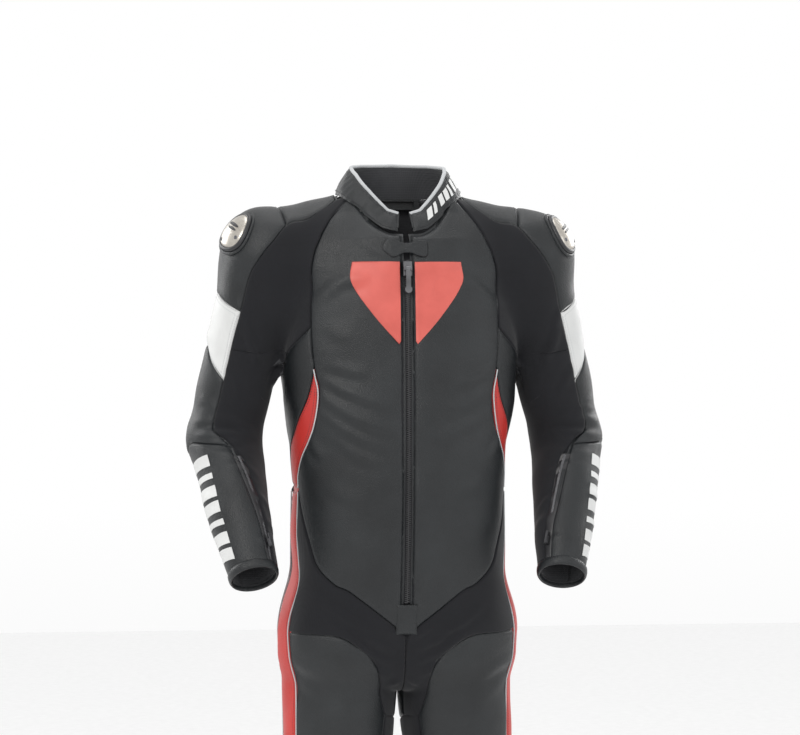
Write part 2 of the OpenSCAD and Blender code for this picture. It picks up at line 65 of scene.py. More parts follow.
# camera, light and floor
shot = {"azimuth": -8.0, "distance": 4.0, "target": (0.00355, -0.046, -0.2383), "angle": 16.16}
turn = np.radians(shot["azimuth"])
cameraData = bpy.data.cameras.new("camera")
cameraData.sensor_fit = "HORIZONTAL"
cameraData.angle = np.radians(shot["angle"])
cameraData.clip_end = 50
bpy.context.scene.view_settings.view_transform = "Standard"
camera = bpy.data.objects.new("camera", cameraData)
camera.location = (shot["target"][0] + np.sin(turn) * shot["distance"],
                   shot["target"][1] - np.cos(turn) * shot["distance"], shot["target"][2])
camera.rotation_euler = (np.pi / 2, 0, turn)
bpy.context.scene.collection.objects.link(camera)
bpy.context.scene.camera = camera

studio = {
    "key": ((-1.5, -2.6, 1.5), 1.5, 46, (1.0, 0.985, 0.96)),
    "fill": ((2.3, -2.2, 0.5), 1.8, 14, (0.96, 0.98, 1.0)),
    "top": ((0.0, 0.2, 2.2), 1.6, 16, (1.0, 1.0, 1.0)),
    "rimLeft": ((-2.0, 1.6, 0.7), 1.2, 24, (1.0, 1.0, 1.0)),
    "rimRight": ((2.0, 1.6, 0.7), 1.2, 24, (1.0, 1.0, 1.0)),
}


def aimAt(obj, target):
    # turns an object's -Z axis towards a point
    way = np.array(target) - np.array(obj.location)
    flat = np.hypot(way[0], way[1])
    obj.rotation_euler = (np.arctan2(flat, -way[2]), 0, np.arctan2(way[1], way[0]) - np.pi / 2)


for name, (spot, size, power, tint) in studio.items():
    data = bpy.data.lights.new(name, "AREA")
    data.size = size
    data.energy = power
    data.color = tint
    lamp = bpy.data.objects.new(name, data)
    lamp.location = spot
    aimAt(lamp, (0, -0.03, -0.45))
    bpy.context.scene.collection.objects.link(lamp)


# shader workbench
class Wire:
    # a shader socket that can be added, multiplied and so on
    def __init__(self, bench, socket):
        self.bench = bench
        self.socket = socket

    def sums(self, operation, other, swap=False):
        pair = (other, self) if swap else (self, other)
        return self.bench.add("ShaderNodeMath", {"operation": operation}, {0: pair[0], 1: pair[1]})

    def __add__(self, other):
        return self.sums("ADD", other)

    def __sub__(self, other):
        return self.sums("SUBTRACT", other)

    def __rsub__(self, other):
        return self.sums("SUBTRACT", other, True)

    def __mul__(self, other):
        return self.sums("MULTIPLY", other)

    __radd__ = __add__
    __rmul__ = __mul__


class Bench:
    # one material and the nodes that make it
    def __init__(self, name, tree=None):
        if tree is None:
            self.material = bpy.data.materials.new(name)
            self.material.use_nodes = True
            tree = self.material.node_tree
        self.tree = tree
        self.tree.nodes.clear()

    def add(self, kind, settings=None, sockets=None, output=0):
        node = self.tree.nodes.new(kind)
        for key, value in (settings or {}).items():
            setattr(node, key, value)
        for key, value in (sockets or {}).items():
            if isinstance(value, Wire):
                self.tree.links.new(value.socket, node.inputs[key])
            else:
                node.inputs[key].default_value = value
        return Wire(self, node.outputs[output]) if len(node.outputs) else node

    def place(self, scale=(1, 1, 1)):
        here = self.add("ShaderNodeTexCoord", output=3)
        return self.add("ShaderNodeMapping", {}, {"Vector": here, "Scale": scale})

    def noise(self, where, scale, detail=3.0, rough=0.5):
        return self.add("ShaderNodeTexNoise", {},
                        {"Vector": where, "Scale": scale, "Detail": detail, "Roughness": rough})

    def tone(self, factor, dark, light):
        return self.add("ShaderNodeMix", {"data_type": "RGBA"},
                        {0: factor, 6: (*dark, 1), 7: (*light, 1)}, output=2)

    def finish(self, colour, rough, bump=None, height=0.001, metallic=0.0, **fixed):
        sockets = {"Base Color": colour, "Roughness": rough, "Metallic": metallic}
        for key, value in fixed.items():
            sockets[{"specular": "Specular IOR Level", "sheen": "Sheen Weight",
                     "sheenRough": "Sheen Roughness"}[key]] = value
        if bump is not None:
            sockets["Normal"] = self.add("ShaderNodeBump", {}, {"Strength": 1.0, "Distance": height, "Height": bump})
        shader = self.add("ShaderNodeBsdfPrincipled", {}, sockets)
        self.add("ShaderNodeOutputMaterial", {}, {"Surface": shader})
        return self.material


def clampTo(bench, value, low, high, out0=0.0, out1=1.0):
    return bench.add("ShaderNodeMapRange", {"clamp": True},
                     {"Value": value, "From Min": low, "From Max": high, "To Min": out0, "To Max": out1})


def leather(name, dark, light, rough=0.5, grain=0.00016, specular=0.42):
    # pebbled hide: smooth cells about a millimetre across, fine pores between them, slow patches of tone
    b = Bench(name)
    where = b.place()
    cells = b.add("ShaderNodeTexVoronoi", {"feature": "SMOOTH_F1"},
                  {"Vector": where, "Scale": 780.0, "Smoothness": 0.6})
    pores = b.noise(where, 1900.0, 2.0)
    patch = b.noise(where, 14.0, 4.0, 0.55)
    scuff = clampTo(b, b.noise(where, 55.0, 5.0, 0.7), 0.58, 0.78)
    pebble = (1 - cells) * 0.8 + pores * 0.25
    colour = b.tone(clampTo(b, patch, 0.3, 0.7), dark, light)
    roughness = rough + (patch - 0.5) * 0.16 + scuff * 0.07 + (cells - 0.4) * 0.08
    return b.finish(colour, roughness, pebble, grain * 3.0, specular=specular)


def cloth(name, dark, light, pitch=0.0016, rough=0.85, depth=0.00018, sheen=0.12):
    # knit: two crossing sets of ribs, broken by a little noise
    b = Bench(name)
    where = b.place()
    apart = b.tree.nodes.new("ShaderNodeSeparateXYZ")
    b.tree.links.new(where.socket, apart.inputs[0])
    x, y, z = (Wire(b, s) for s in apart.outputs)
    wobble = b.noise(where, 90.0, 2.0) * 1.4
    rows = b.add("ShaderNodeMath", {"operation": "SINE"}, {0: z * (6.2832 / pitch) + wobble})
    columns = b.add("ShaderNodeMath", {"operation": "SINE"}, {0: (x + y * 0.9) * (6.2832 / pitch) + wobble})
    knit = (rows * 0.5 + 0.5) * 0.6 + (columns * 0.5 + 0.5) * 0.4
    patch = b.noise(where, 20.0, 3.0)
    colour = b.tone(clampTo(b, patch * 0.7 + knit * 0.3, 0.25, 0.75), dark, light)
    return b.finish(colour, rough + (patch - 0.5) * 0.1, knit, depth, specular=0.2, sheen=sheen, sheenRough=0.5)


def brushed(name, dark, light, rough=0.3):
    # brushed metal: streaks along X, faint stains
    b = Bench(name)
    streak = b.noise(b.place((60, 1400, 1400)), 1.0, 4.0, 0.6)
    stain = b.noise(b.place(), 60.0, 3.0)
    colour = b.tone(clampTo(b, streak * 0.6 + stain * 0.4, 0.35, 0.65), dark, light)
    return b.finish(colour, rough + (streak - 0.5) * 0.22, streak, 0.00004, metallic=1.0)


def moulded(name, dark, light, rough=0.4, scale=900.0, height=0.00006, metallic=0.0, specular=0.5):
    # moulded plastic, film, foam or cast metal: fine grain and slow patches
    b = Bench(name)
    where = b.place()
    grain = b.noise(where, scale, 3.0)
    patch = b.noise(where, 35.0, 3.0)
    return b.finish(b.tone(clampTo(b, patch, 0.3, 0.7), dark, light),
                    rough + (patch - 0.5) * 0.12 + (grain - 0.5) * 0.1,
                    grain, height, metallic=metallic, specular=specular)


paint = {
    "black_leather": leather("blackLeather", (0.0045, 0.0056, 0.0066), (0.0105, 0.0125, 0.014), 0.4, specular=0.4),
    "white_leather": leather("whiteLeather", (0.50, 0.505, 0.50), (0.58, 0.585, 0.58), 0.46, 0.00008),
    "red_leather": leather("redLeather", (0.37, 0.017, 0.013), (0.46, 0.025, 0.019), 0.44, 0.0001),
    "stretch_fabric": cloth("stretchFabric", (0.0062, 0.0064, 0.008), (0.0105, 0.0108, 0.013)),
    # shield film: its own red, painted lighter and paler with the top light that falls on it
    "emblem_film": moulded("emblemFilmPaintedTopLight", (0.45, 0.072, 0.055), (0.52, 0.09, 0.07), 0.46, 1200.0),
    "binding": cloth("greyBinding", (0.36, 0.37, 0.38), (0.46, 0.47, 0.48), 0.0012, 0.8),
    "metal": brushed("brushedTitanium", (0.40, 0.37, 0.33), (0.56, 0.53, 0.48)),
    "zip_plastic": moulded("zipPlastic", (0.008, 0.008, 0.0095), (0.014, 0.014, 0.016), 0.42),
    "slider_metal": moulded("sliderMetal", (0.10, 0.10, 0.105), (0.17, 0.17, 0.18), 0.34, 700.0, metallic=0.9),
    "armour_foam": moulded("armourFoam", (0.07, 0.08, 0.095), (0.11, 0.12, 0.14), 0.72, 500.0, 0.0002),
    "lining_mesh": cloth("liningMesh", (0.03, 0.031, 0.034), (0.055, 0.056, 0.06), 0.0024, 0.9, 0.0003),
    "thread": cloth("blackThread", (0.016, 0.017, 0.019), (0.03, 0.032, 0.035), 0.0006, 0.6, 0.00006),
    "pale_thread": cloth("paleThread", (0.30, 0.31, 0.32), (0.42, 0.43, 0.44), 0.0006, 0.6, 0.00006),
    "tape": cloth("zipTape", (0.008, 0.008, 0.01), (0.015, 0.015, 0.018), 0.0009, 0.75, 0.00012),
}
print("materials made:", len(paint))

# world: a white room, a little brighter overhead
world = bpy.data.worlds.new("room")
bpy.context.scene.world = world
world.use_nodes = True
room = Bench("room", world.node_tree)
up = room.tree.nodes.new("ShaderNodeSeparateXYZ")
room.tree.links.new(room.add("ShaderNodeTexCoord", output=0).socket, up.inputs[0])
glow = clampTo(room, Wire(room, up.outputs[2]), -0.9, -0.05, 0.3, 1.0)
white = room.tone(glow, (0.0, 0.0, 0.0), (1.0, 1.0, 1.0))
sky = room.add("ShaderNodeBackground", {}, {"Color": white, "Strength": 1.0})
room.add("ShaderNodeOutputWorld", {}, {"Surface": sky})

floorData = bpy.data.meshes.new("floor")
floorData.from_pydata([(x, y, -1.452) for x, y in ((-9, -9), (9, -9), (9, 9), (-9, 9))], [], [(0, 1, 2, 3)])
floor = bpy.data.objects.new("floor", floorData)
bpy.context.scene.collection.objects.link(floor)
floorData.materials.append(moulded("paleFloor", (0.88, 0.88, 0.88), (0.92, 0.92, 0.92), 0.7, 60.0))

# the body form that the suit is cut for
body = {"chest": 340, "waist": 300, "hips": 304, "shoulders": 374, "upperArm": 256, "forearm": 234,
        "thigh": 398, "shin": 392, "roundness": 2.5, "zipCurve": 1500, "arcY": -116, "arcZ": -330, "zipHalf": 8}


def unit(v):
    # each vector divided by its length
    v = np.asarray(v, float)
    return v / (np.linalg.norm(v, axis=-1, keepdims=True) + 1e-12)


def mix(a, b, t):
    # a plus the part t of the way to b
    return a + (b - a) * t


def ease(a, b, x):
    # smooth step from 0 at a to 1 at b
    t = np.clip((x - a) / (b - a), 0, 1)
    return t * t * (3 - 2 * t)


def join(a, b, k):
    # smaller of two distances, rounded off over a width k
    h = np.maximum(k - abs(a - b), 0) / k
    return np.minimum(a, b) - h * h * k / 4


def lookup(x, table):
    # straight lines between the pairs of a table
    table = np.array(table, float)
    return np.interp(x, table[:, 0], table[:, 1])


shoulder = np.array([body["shoulders"] / 2, 2, -88])
armWay = unit([60, 12, -252])
foreWay = unit([-32, -130, -190])
elbow = shoulder + body["upperArm"] * armWay
wrist = elbow + body["forearm"] * foreWay
hip = np.array([body["hips"] * 0.258, 6, -612])
thighWay = unit([17, -8, -398])
shinWay = unit([8, 26, -390])
knee = hip + body["thigh"] * thighWay
ankle = knee + body["shin"] * shinWay
halfWidth = [(-690, body["hips"] * 0.46), (-610, body["hips"] * 0.5), (-540, body["hips"] * 0.497),
             (-470, (body["waist"] + body["hips"]) / 4), (-400, body["waist"] / 2), (-345, body["waist"] / 2 + 4),
             (-285, body["chest"] / 2 - 7), (-215, body["chest"] / 2 - 1), (-150, body["chest"] / 2 - 2),
             (-100, body["chest"] * 0.44), (-60, body["chest"] * 0.33), (-20, body["chest"] * 0.182)]
backDepth = [(-690, 104), (-610, 118), (-540, 114), (-470, 99), (-400, 86), (-345, 90), (-285, 98), (-215, 106),
             (-150, 108), (-100, 98), (-60, 84), (-20, 62)]


def frontDepth(z):
    # depth of the zip's big circle, eased back at the throat
    zz = np.clip(z, -690, -20)
    r = body["zipCurve"]
    return -body["arcY"] - r + np.sqrt(r * r - (zz - body["arcZ"]) ** 2) - 0.6 * np.clip(z + 60, 0, 40)


def limb(p, a, b, ra, rb, bulge):
    # distance to a tapered, slightly barrelled capsule from a to b
    d = b - a
    t = np.clip((p - a) @ d / (d @ d), 0, 1)
    return np.linalg.norm(p - a - t[..., None] * d, axis=-1) - (ra + (rb - ra) * t + 4 * bulge * t * (1 - t))


def trunkForm(p):
    # superellipse slices, rounded off at the crotch
    z = p[..., 2]
    w = lookup(z, halfWidth)
    d = np.where(p[..., 1] < 0, frontDepth(z), lookup(z, backDepth))
    n = body["roundness"]
    torso = ((np.abs(p[..., 0]) / w) ** n + (np.abs(p[..., 1]) / d) ** n) ** (1 / n)
    return -join(-(torso - 1) * np.minimum(w, d), z + 692, 40)


def form(q):
    # distance-like value of the whole body, below 0 inside
    p = np.array(q, float)
    p[..., 0] = np.abs(p[..., 0])
    z = p[..., 2]
    bar = limb(p, np.array([62, 2, -47]), shoulder + [-6, 0, 12], 56, 60, 0)
    arm = join(limb(p, shoulder, elbow, 59, 48, 1), limb(p, elbow, wrist, 48, 33, 3), 16)
    leg = join(limb(p, hip, knee, 84, 61, 2), limb(p, knee, ankle, 61, 43, 7), 20)
    return join(join(join(trunkForm(p), bar, 45), arm, 4 + 34 * ease(-245, -130, z)), leg,
                5 + 35 * ease(-700, -640, z))


def slope(p, f):
    # change of the form over one millimetre along each axis
    return np.stack([form(p + e) - f for e in np.eye(3)], -1)


def settle(p, steps=3):
    # Newton steps along the slope on to the form's surface
    p = np.array(p, float)
    for _ in range(steps):
        f = form(p)
        g = slope(p, f)
        p = p - f[..., None] * g / ((g * g).sum(-1, keepdims=True) + 1e-9)
    return p


def outward(p):
    # the slope, one millimetre long
    return unit(slope(p, form(p)))


# places on the form: x or angle across, z or length along
def girth(z):
    # how much wider the body is than the one the seams were drawn on
    return lookup(z, [(-500, body["hips"] / 326), (-400, body["waist"] / 300), (-300, body["chest"] / 340)])


def sideY(x, z, d):
    # depth of the superellipse slice at x, as a part of its full depth d
    n = body["roundness"]
    return d * max(1 - min(abs(x) * girth(z) / lookup(z, halfWidth), 0.97) ** n, 0.01) ** (1 / n)


def front(x, z):
    # the place at x and z on the front of the trunk
    return np.array([x * girth(z), -sideY(x, z, frontDepth(z)), z])


def back(x, z):
    # the place at x and z on the back of the trunk
    return np.array([x * girth(z), sideY(x, z, lookup(z, backDepth)), z])


def around(c, axis, r, a):
    # a point on a circle of radius r about an axis through c, angle a from the front outwards
    o = unit(np.array([1.0, 0, 0]) - axis[0] * axis)
    f = np.cross(axis, o)
    return c + r * (np.cos(np.radians(a)) * f + np.sin(np.radians(a)) * o)


def trunk(a, z):
    # an ellipse point at angle a, 0 in front, 90 outside, 180 behind
    c = np.cos(np.radians(a))
    return np.array([np.sin(np.radians(a)) * lookup(z, halfWidth),
                     -c * (frontDepth(z) if c > 0 else lookup(z, backDepth)), z])


def arm(a, s):
    # circle round the sleeve at length s from the shoulder; its axis turns smoothly at the elbow
    n = body["upperArm"]
    c = shoulder + s * armWay if s < n else elbow + (s - n) * foreWay
    return around(c, unit(mix(armWay, foreWay, ease(n - 40, n + 40, s))),
                  lookup(s, [(0, 59), (n, 49), (n + body["forearm"], 33)]), a)


def leg(a, s):
    # circle round the leg at length s from the hip; its axis turns smoothly at the knee
    n = body["thigh"]
    c = hip + s * thighWay if s < n else knee + (s - n) * shinWay
    return around(c, unit(mix(thighWay, shinWay, ease(n - 40, n + 40, s))),
                  lookup(s, [(0, 84), (n, 61), (n + body["shin"], 43)]), a)


def spline(c, t):
    # smooth curve through points c; c may hold a row of points for each of many lines
    c = np.asarray(c, float)
    n = c.shape[-2] - 1
    x = np.clip(np.asarray(t, float), 0, 1) * n
    i = np.minimum(np.floor(x).astype(int), n - 1)
    f = (x - i)[..., None]
    if c.ndim == 2:
        get = lambda k: c[np.clip(k, 0, n)]
    else:
        rows = np.arange(c.shape[0])[:, None]
        get = lambda k: c[rows, np.clip(k, 0, n)]
    a, b = get(i), get(i + 1)
    ma, mb = (b - get(i - 1)) / 2, (get(i + 2) - a) / 2
    return (a * (2 * f ** 3 - 3 * f ** 2 + 1) + ma * (f ** 3 - 2 * f ** 2 + f)
            + b * (3 * f ** 2 - 2 * f ** 3) + mb * (f ** 3 - f ** 2))


def between(a, b, t, n=8):
    # a line the part t of the way from line a to line b, laid on the form
    k = np.arange(n + 1) / n
    return settle(mix(spline(a, k), spline(b, k), t))


def piece(c, i, j):
    # the stretch of a seam line from its point i to its point j
    n = int(np.ceil(3 * (j - i) - 1e-6))
    return spline(c, mix(i, j, np.arange(n + 1) / n) / (len(c) - 1))


def flip(c):
    # the same line on the other side of the body
    return np.asarray(c) * [-1, 1, 1]


def startAt(p, a, b, t):
    # a line between a and b that starts at p
    return np.vstack([[p], between(a, b, t, 14)[1:]])


# seam lines on the wearer's left
zipEdge = np.array([front(body["zipHalf"] / girth(z), z) for z in (-54, -150, -260, -370, -480, -600)])
frontSeam = np.array([front(x, z) for x, z in (
    (66, -18), (104, -50), (124, -88), (131, -128), (133, -182), (129, -240), (123, -278), (130, -327), (144, -372),
    (150, -408), (142, -480), (133, -514), (108, -540), (84, -551), (32, -588), (12, -604))])
backSeam = np.array([back(62, -5), back(100, -45), back(122, -88), back(132, -130), back(136, -182),
                     trunk(116, -240), trunk(114, -300), trunk(112, -352), trunk(110, -404)])
redRear = np.array([frontSeam[5], front(138, -284), front(152, -327), trunk(86, -352), trunk(98, -404)])
pitFront = settle([165, -40, -218])
pitBack = settle([165, 46, -218])
pitLow = settle([170, 4, -248])
pitRow = np.array([frontSeam[4], pitFront, arm(26, 132)])
pitRearRow = np.array([backSeam[4], pitBack, arm(-190, 110)])
wristS = body["upperArm"] + body["forearm"] - 10


def frontAngle(s):
    # angle of the sleeve seam in front, by length along the arm
    return lookup(s, [(20, 20), (78, 24), (132, 26), (224, 27), (262, 22), (300, 4), (340, -8), (390, -20),
                      (440, -33), (480, -38)])


def backAngle(s):
    # angle of the sleeve seam behind, by length along the arm
    return lookup(s, [(20, -200), (110, -190), (276, -200), (480, -206)])


sleeveS = [20, 78, 132, 176, 224, 262, 300, 345, 390, 435, wristS]
topS = [0, 60, 96, 134, 180, 225, 268, 330, 380, 430, wristS]
rearS = [20, 72, 110, 152, 190, 235, 276, 330, 380, 430, wristS]
sleeveFront = np.array([front(90, -7), [131, -50, -28],
                        shoulder + [-22, -40, 38]] + [arm(frontAngle(s), s) for s in sleeveS])
sleeveTop = np.array([[93, 2, 11], [130, 2, 0], shoulder + [-17, 0, 60], shoulder + [38, 0, 42]]
                     + [arm(mix(94, 78, i / 10), topS[i]) for i in range(1, 11)])
sleeveBack = np.array([back(84, -5), [131, 52, -26],
                       shoulder + [-22, 42, 38]] + [arm(backAngle(s), s) for s in rearS])


def slot(s):
    # degrees that the cuff zip takes up beside the front seam
    return lookup(s, [(290, 0), (312, 16)])


stripeFront = np.array([front(150, -412), trunk(71, -470), trunk(66, -540), leg(60, 0), leg(56, 90), leg(56, 200),
                        leg(58, 330)])
stripeRear = np.array([trunk(99, -412), trunk(98, -470), trunk(97, -540), leg(98, 0), leg(98, 90), leg(98, 200),
                       leg(96, 330)])
thighTop = np.array([stripeFront[3], front(104, -610), front(74, -624), front(45, -652), leg(-50, 112),
                     leg(-64, 114.5), leg(-78, 116)])
underSeat = np.array([stripeRear[4], leg(106, 108), leg(122, 120), leg(145, 128), leg(190, 136), leg(240, 128),
                      leg(282, 116)])
seatEdge = np.vstack([piece(stripeRear, 1, 4), underSeat[1:]])
ankleS = body["thigh"] + body["shin"] - 8
kneeLine = [leg(-48, body["thigh"] - 33), leg(0, body["thigh"] - 35), leg(48, body["thigh"] - 35),
            leg(96, body["thigh"] - 26)]
shinTop = [(186, 87), (246, 61), (282, 15), (298, -12), (312, -30), (360, -33), (408, -33), (456, -23), (480, 4),
           (502, 38), (534, 85)]
print("seam lines drawn")


# how much each place follows the limb beyond a joint, 0 to 1
def soften(t):
    # a straight rise mixed with a smooth step
    t = np.clip(t, 0, 1)
    return 0.55 * t + 0.45 * t * t * (3 - 2 * t)


def leftward(p):
    # the mirror place on the left
    return p * np.where(p[..., :1] < 0, [-1.0, 1, 1], [1.0, 1, 1])


def shoulderShare(p):
    # nearer the trunk than the arm: 0; nearer the arm: 1
    p = leftward(p)
    z = p[..., 2]
    near = join(trunkForm(p), limb(p, np.array([62, 2, -47]), np.array([140, 2, -62]), 56, 57, 0), 45)
    k = lookup(z, [(-300, 14), (-250, 18), (-200, 26), (-110, 38)])
    crown = ease(60, 20, np.abs(p[..., 1] - 2)) * ease(-110, -60, z)
    return soften((near - limb(p, shoulder, elbow, 59, 48, 1) + 22 * crown + k) / (2 * k))


def elbowShare(p):
    # rises over 108 mm along the mean of both arm directions, 46 of them above the elbow
    return soften(((leftward(p) - elbow) @ unit(armWay + foreWay) + 46) / 108)


def hipShare(p):
    # by height over the groin, held back at the middle line
    z = p[..., 2]
    middle = ease(-860, -690, z)
    return soften((-517 - z) / 190) * (1 - middle * (1 - ease(14, 80, np.abs(p[..., 0]))))


def kneeShare(p):
    # rises over 152 mm along the mean of both leg directions, 62 of them above the knee
    return soften(((leftward(p) - knee) @ unit(thighWay + shinWay) + 62) / 152)


bends = {"shoulder": ("torso", "upper_arm", shoulderShare, shoulder),
         "elbow": ("upper_arm", "forearm", elbowShare, elbow),
         "hip": ("torso", "thigh", hipShare, hip), "knee": ("thigh", "shin", kneeShare, knee)}


# folds and creases of the worn hide and cloth
# each fold: two ends on the form, sideways bow, half width and height, all in mm
foldSettings = {
    "front": [  # x, z to x, z
        (-126, -246, -18, -292, 10, 8, 2.6), (-128, -268, -10, -330, 12, 8, 3.0), (-122, -296, -16, -356, 12, 7, 2.4),
        (-118, -232, -52, -246, 5, 8, 1.8), (-100, -330, -30, -372, 8, 9, 1.6), (-112, -128, -52, -118, -8, 9, 2.4),
        (-126, -150, -88, -128, -5, 9, 2.4), (-118, -176, -76, -196, 4, 10, 1.2), (126, -232, 70, -262, -5, 8, 1.7),
        (120, -262, 40, -300, -8, 9, 1.8), (118, -296, 30, -338, -8, 9, 1.5), (112, -128, 56, -118, 7, 9, 1.8),
        (126, -150, 92, -126, 4, 8, 1.8), (-60, -66, -16, -84, 4, 7, 1.2), (52, -64, 22, -84, -3, 7, 1.0),
        (-36, -548, -12, -572, 4, 6, 1.5), (30, -546, 14, -580, -4, 6, 1.8), (22, -520, 16, -560, -3, 5, 1.5),
        (-110, -398, -52, -420, 6, 10, 1.2), (108, -392, 60, -416, -5, 10, 1.1), (-90, -470, -40, -500, 5, 12, 1.0),
        (96, -474, 44, -504, -5, 12, 1.0), (-134, -332, -112, -366, 3, 7, 1.8), (134, -330, 116, -364, -3, 7, 1.6),
    ],
    "groin": [  # x, z to x, z on the stretch cloth
        (14, -632, 70, -600, 6, 5, 2.0), (16, -650, 92, -602, 8, 5, 2.2), (22, -668, 64, -640, 4, 5, 1.8),
        (40, -606, 118, -566, 8, 6, 1.8), (10, -612, 40, -594, 3, 5, 1.6), (8, -672, 24, -690, 2, 5, 1.6),
    ],
    "back": [  # x, z to x, z
        (20, -372, 112, -396, 6, 10, 1.8), (10, -340, 100, -352, 5, 11, 1.5), (36, -300, 118, -292, -5, 11, 1.4),
        (90, -112, 128, -150, 6, 9, 1.6), (96, -190, 132, -222, 5, 9, 1.6), (12, -388, 60, -396, 3, 8, 1.4),
        (20, -590, 96, -640, 8, 10, 1.6), (24, -640, 90, -676, 8, 9, 2.0), (60, -520, 128, -556, 7, 12, 1.4),
    ],
    "arm": [  # angle, s to angle, s
        (34, 66, -2, 130, 6, 6, 2.2), (22, 96, -20, 158, 6, 6, 2.4), (12, 112, -40, 172, 7, 6, 2.2),
        (40, 152, -6, 196, 5, 6, 1.6),
        (60, 226, -30, 244, 9, 6, 2.0), (64, 244, -44, 256, 9, 6, 2.6), (58, 264, -50, 268, -8, 6, 2.4),
        (44, 280, -34, 286, -8, 6, 2.0),
        (70, 210, 6, 226, 6, 7, 1.6), (38, 300, -28, 312, -6, 6, 1.5), (20, 330, -46, 350, 6, 6, 1.3),
        (150, 236, 92, 250, 6, 8, 1.5),
        (160, 262, 96, 268, -6, 8, 1.6), (154, 286, 104, 296, -6, 8, 1.2), (-20, 380, -70, 400, 5, 6, 1.4),
        (-30, 418, -84, 430, 5, 6, 1.3),
        (90, 360, 40, 378, 5, 7, 1.2), (96, 404, 50, 428, 5, 7, 1.2), (110, 440, 60, 448, 4, 6, 1.1),
        (110, 120, 70, 132, 5, 9, 1.1),
        (-140, 150, -186, 176, 6, 7, 1.8), (-130, 180, -184, 204, 6, 7, 1.6),
        (-120, 240, -170, 252, 6, 6, 1.8), (-110, 262, -168, 268, 6, 6, 1.8),
        (0, 446, -40, 456, 3, 5, 1.2), (130, 330, 100, 346, 4, 7, 1.1), (196, 300, 150, 320, 4, 8, 1.2),
    ],
    "leg": [  # angle, s to angle, s
        (60, 40, 10, 76, 7, 8, 1.6), (66, 64, 6, 104, 8, 8, 1.8), (30, 112, -30, 132, 6, 8, 1.8),
        (40, 132, -20, 160, 7, 9, 1.4),
        (50, 346, -30, 352, 6, 7, 1.4), (60, 404, -10, 412, 8, 9, 1.6), (50, 426, -24, 432, 8, 9, 1.4),
        (150, 372, 210, 380, 9, 6, 2.4), (146, 392, 214, 398, 9, 6, 2.8),
        (150, 412, 214, 416, -9, 6, 2.6), (156, 432, 206, 440, -8, 7, 2.2),
        (150, 350, 204, 356, 8, 7, 1.8), (130, 300, 190, 312, 6, 9, 1.4), (120, 180, 200, 196, 8, 9, 1.4),
        (-90, 160, -150, 180, 6, 8, 1.6),
        (120, 470, 160, 486, 5, 9, 1.4), (40, 520, -10, 534, 6, 11, 1.0), (100, 600, 40, 616, 7, 10, 1.1),
        (150, 650, 110, 668, 5, 9, 1.2),
        (60, 700, 0, 712, 6, 8, 1.3), (140, 716, 90, 726, 6, 8, 1.4), (-60, 690, -120, 706, 6, 8, 1.3),
        (200, 240, 150, 262, 6, 9, 1.3),
    ],
}
chance = np.random.default_rng(11)


def foldPath(spot, a0, b0, a1, b1, bow):
    # seven points from one end to the other, bowed sideways, laid on the form
    t = np.linspace(0, 1, 7)
    lift = 4 * t * (1 - t)
    a, b = mix(a0, a1, t), mix(b0, b1, t)
    points = np.array([spot(x, z) for x, z in zip(a, b)])
    side = unit(np.cross(unit(points[-1] - points[0]), outward(points[3:4])[0]))
    return settle(points + (lift * bow)[:, None] * side + chance.normal(0, 1, points.shape) * lift[:, None] * 0.5)


folds = []
for kind, spot, both in (("front", front, False), ("groin", front, True), ("back", back, True), ("arm", arm, True),
                         ("leg", leg, True)):
    for a0, b0, a1, b1, bow, width, height in foldSettings[kind]:
        for side in ((1, -1) if both else (1,)):
            path = foldPath(spot, a0, b0, a1, b1, bow * float(chance.uniform(0.6, 1.4)))
            folds.append((path * [side, 1, 1], width * float(chance.uniform(0.85, 1.15)),
                          height * float(chance.uniform(0.75, 1.2))))
waves = [(chance.normal(0, 1, 3), float(chance.uniform(26, 120)), float(chance.uniform(0, 6.3))) for _ in range(16)]
waves = [(unit(way) * 6.2832 / length, length * 0.0042, phase) for way, length, phase in waves]
print("folds laid:", len(folds))


def creases(p, n):
    # every fold is a soft ridge with a narrower valley on its lower side; slow waves run under them all
    height = np.zeros(p.shape[:-1])
    for way, size, phase in waves:
        height += size * np.sin(p @ way + phase)
    low, high = p.reshape(-1, 3).min(0), p.reshape(-1, 3).max(0)
    for path, width, tall in folds:
        reach = 4 * width
        if (path.max(0) < low - reach).any() or (path.min(0) > high + reach).any():
            continue
        near = np.all((p > path.min(0) - reach) & (p < path.max(0) + reach), axis=-1)
        if not near.any():
            continue
        q, m = p[near], n[near]
        best = np.full(len(q), 1e9)
        signed, along = np.zeros(len(q)), np.zeros(len(q))
        for i in range(len(path) - 1):
            d = path[i + 1] - path[i]
            t = np.clip((q - path[i]) @ d / (d @ d), 0, 1)
            off = q - path[i] - t[:, None] * d
            far = np.linalg.norm(off, axis=-1)
            closer = far < best
            sign = np.sign((off * np.cross(unit(d), m)).sum(-1))
            best = np.where(closer, far, best)
            signed = np.where(closer, far * sign, signed)
            along = np.where(closer, (i + t) / (len(path) - 1), along)
        taper = np.sin(np.pi * np.clip(along, 0, 1)) ** 0.8
        x = signed / width
        shape = np.exp(-x * x) - 0.62 * np.exp(-((x - 1.45) / 0.8) ** 2) - 0.2 * np.exp(-((x + 1.8) / 1.1) ** 2)
        height[near] += tall * taper * shape
    return height


# panels
cloths = {  # record slot: thickness below the form, roll at the seam, puff, thread
    "black_leather": (2.9, 1.9, 0.7, "thread"), "white_leather": (2.9, 1.9, 0.7, "thread"),
    "red_leather": (2.9, 1.7, 0.5, "thread"),
    "stretch_fabric": (3.3, 1.7, 0.2, None), "emblem_film": (0.9, 0.55, 0.0, None)}
sewing = {"rows": (3, 5), "pitch": 3.7, "long": 2.5, "wide": 0.42, "tall": 0.26, "ends": 2.0}
seamSteps = np.array([0, 0.8, 1.8, 3.1, 4.7, 6.8])


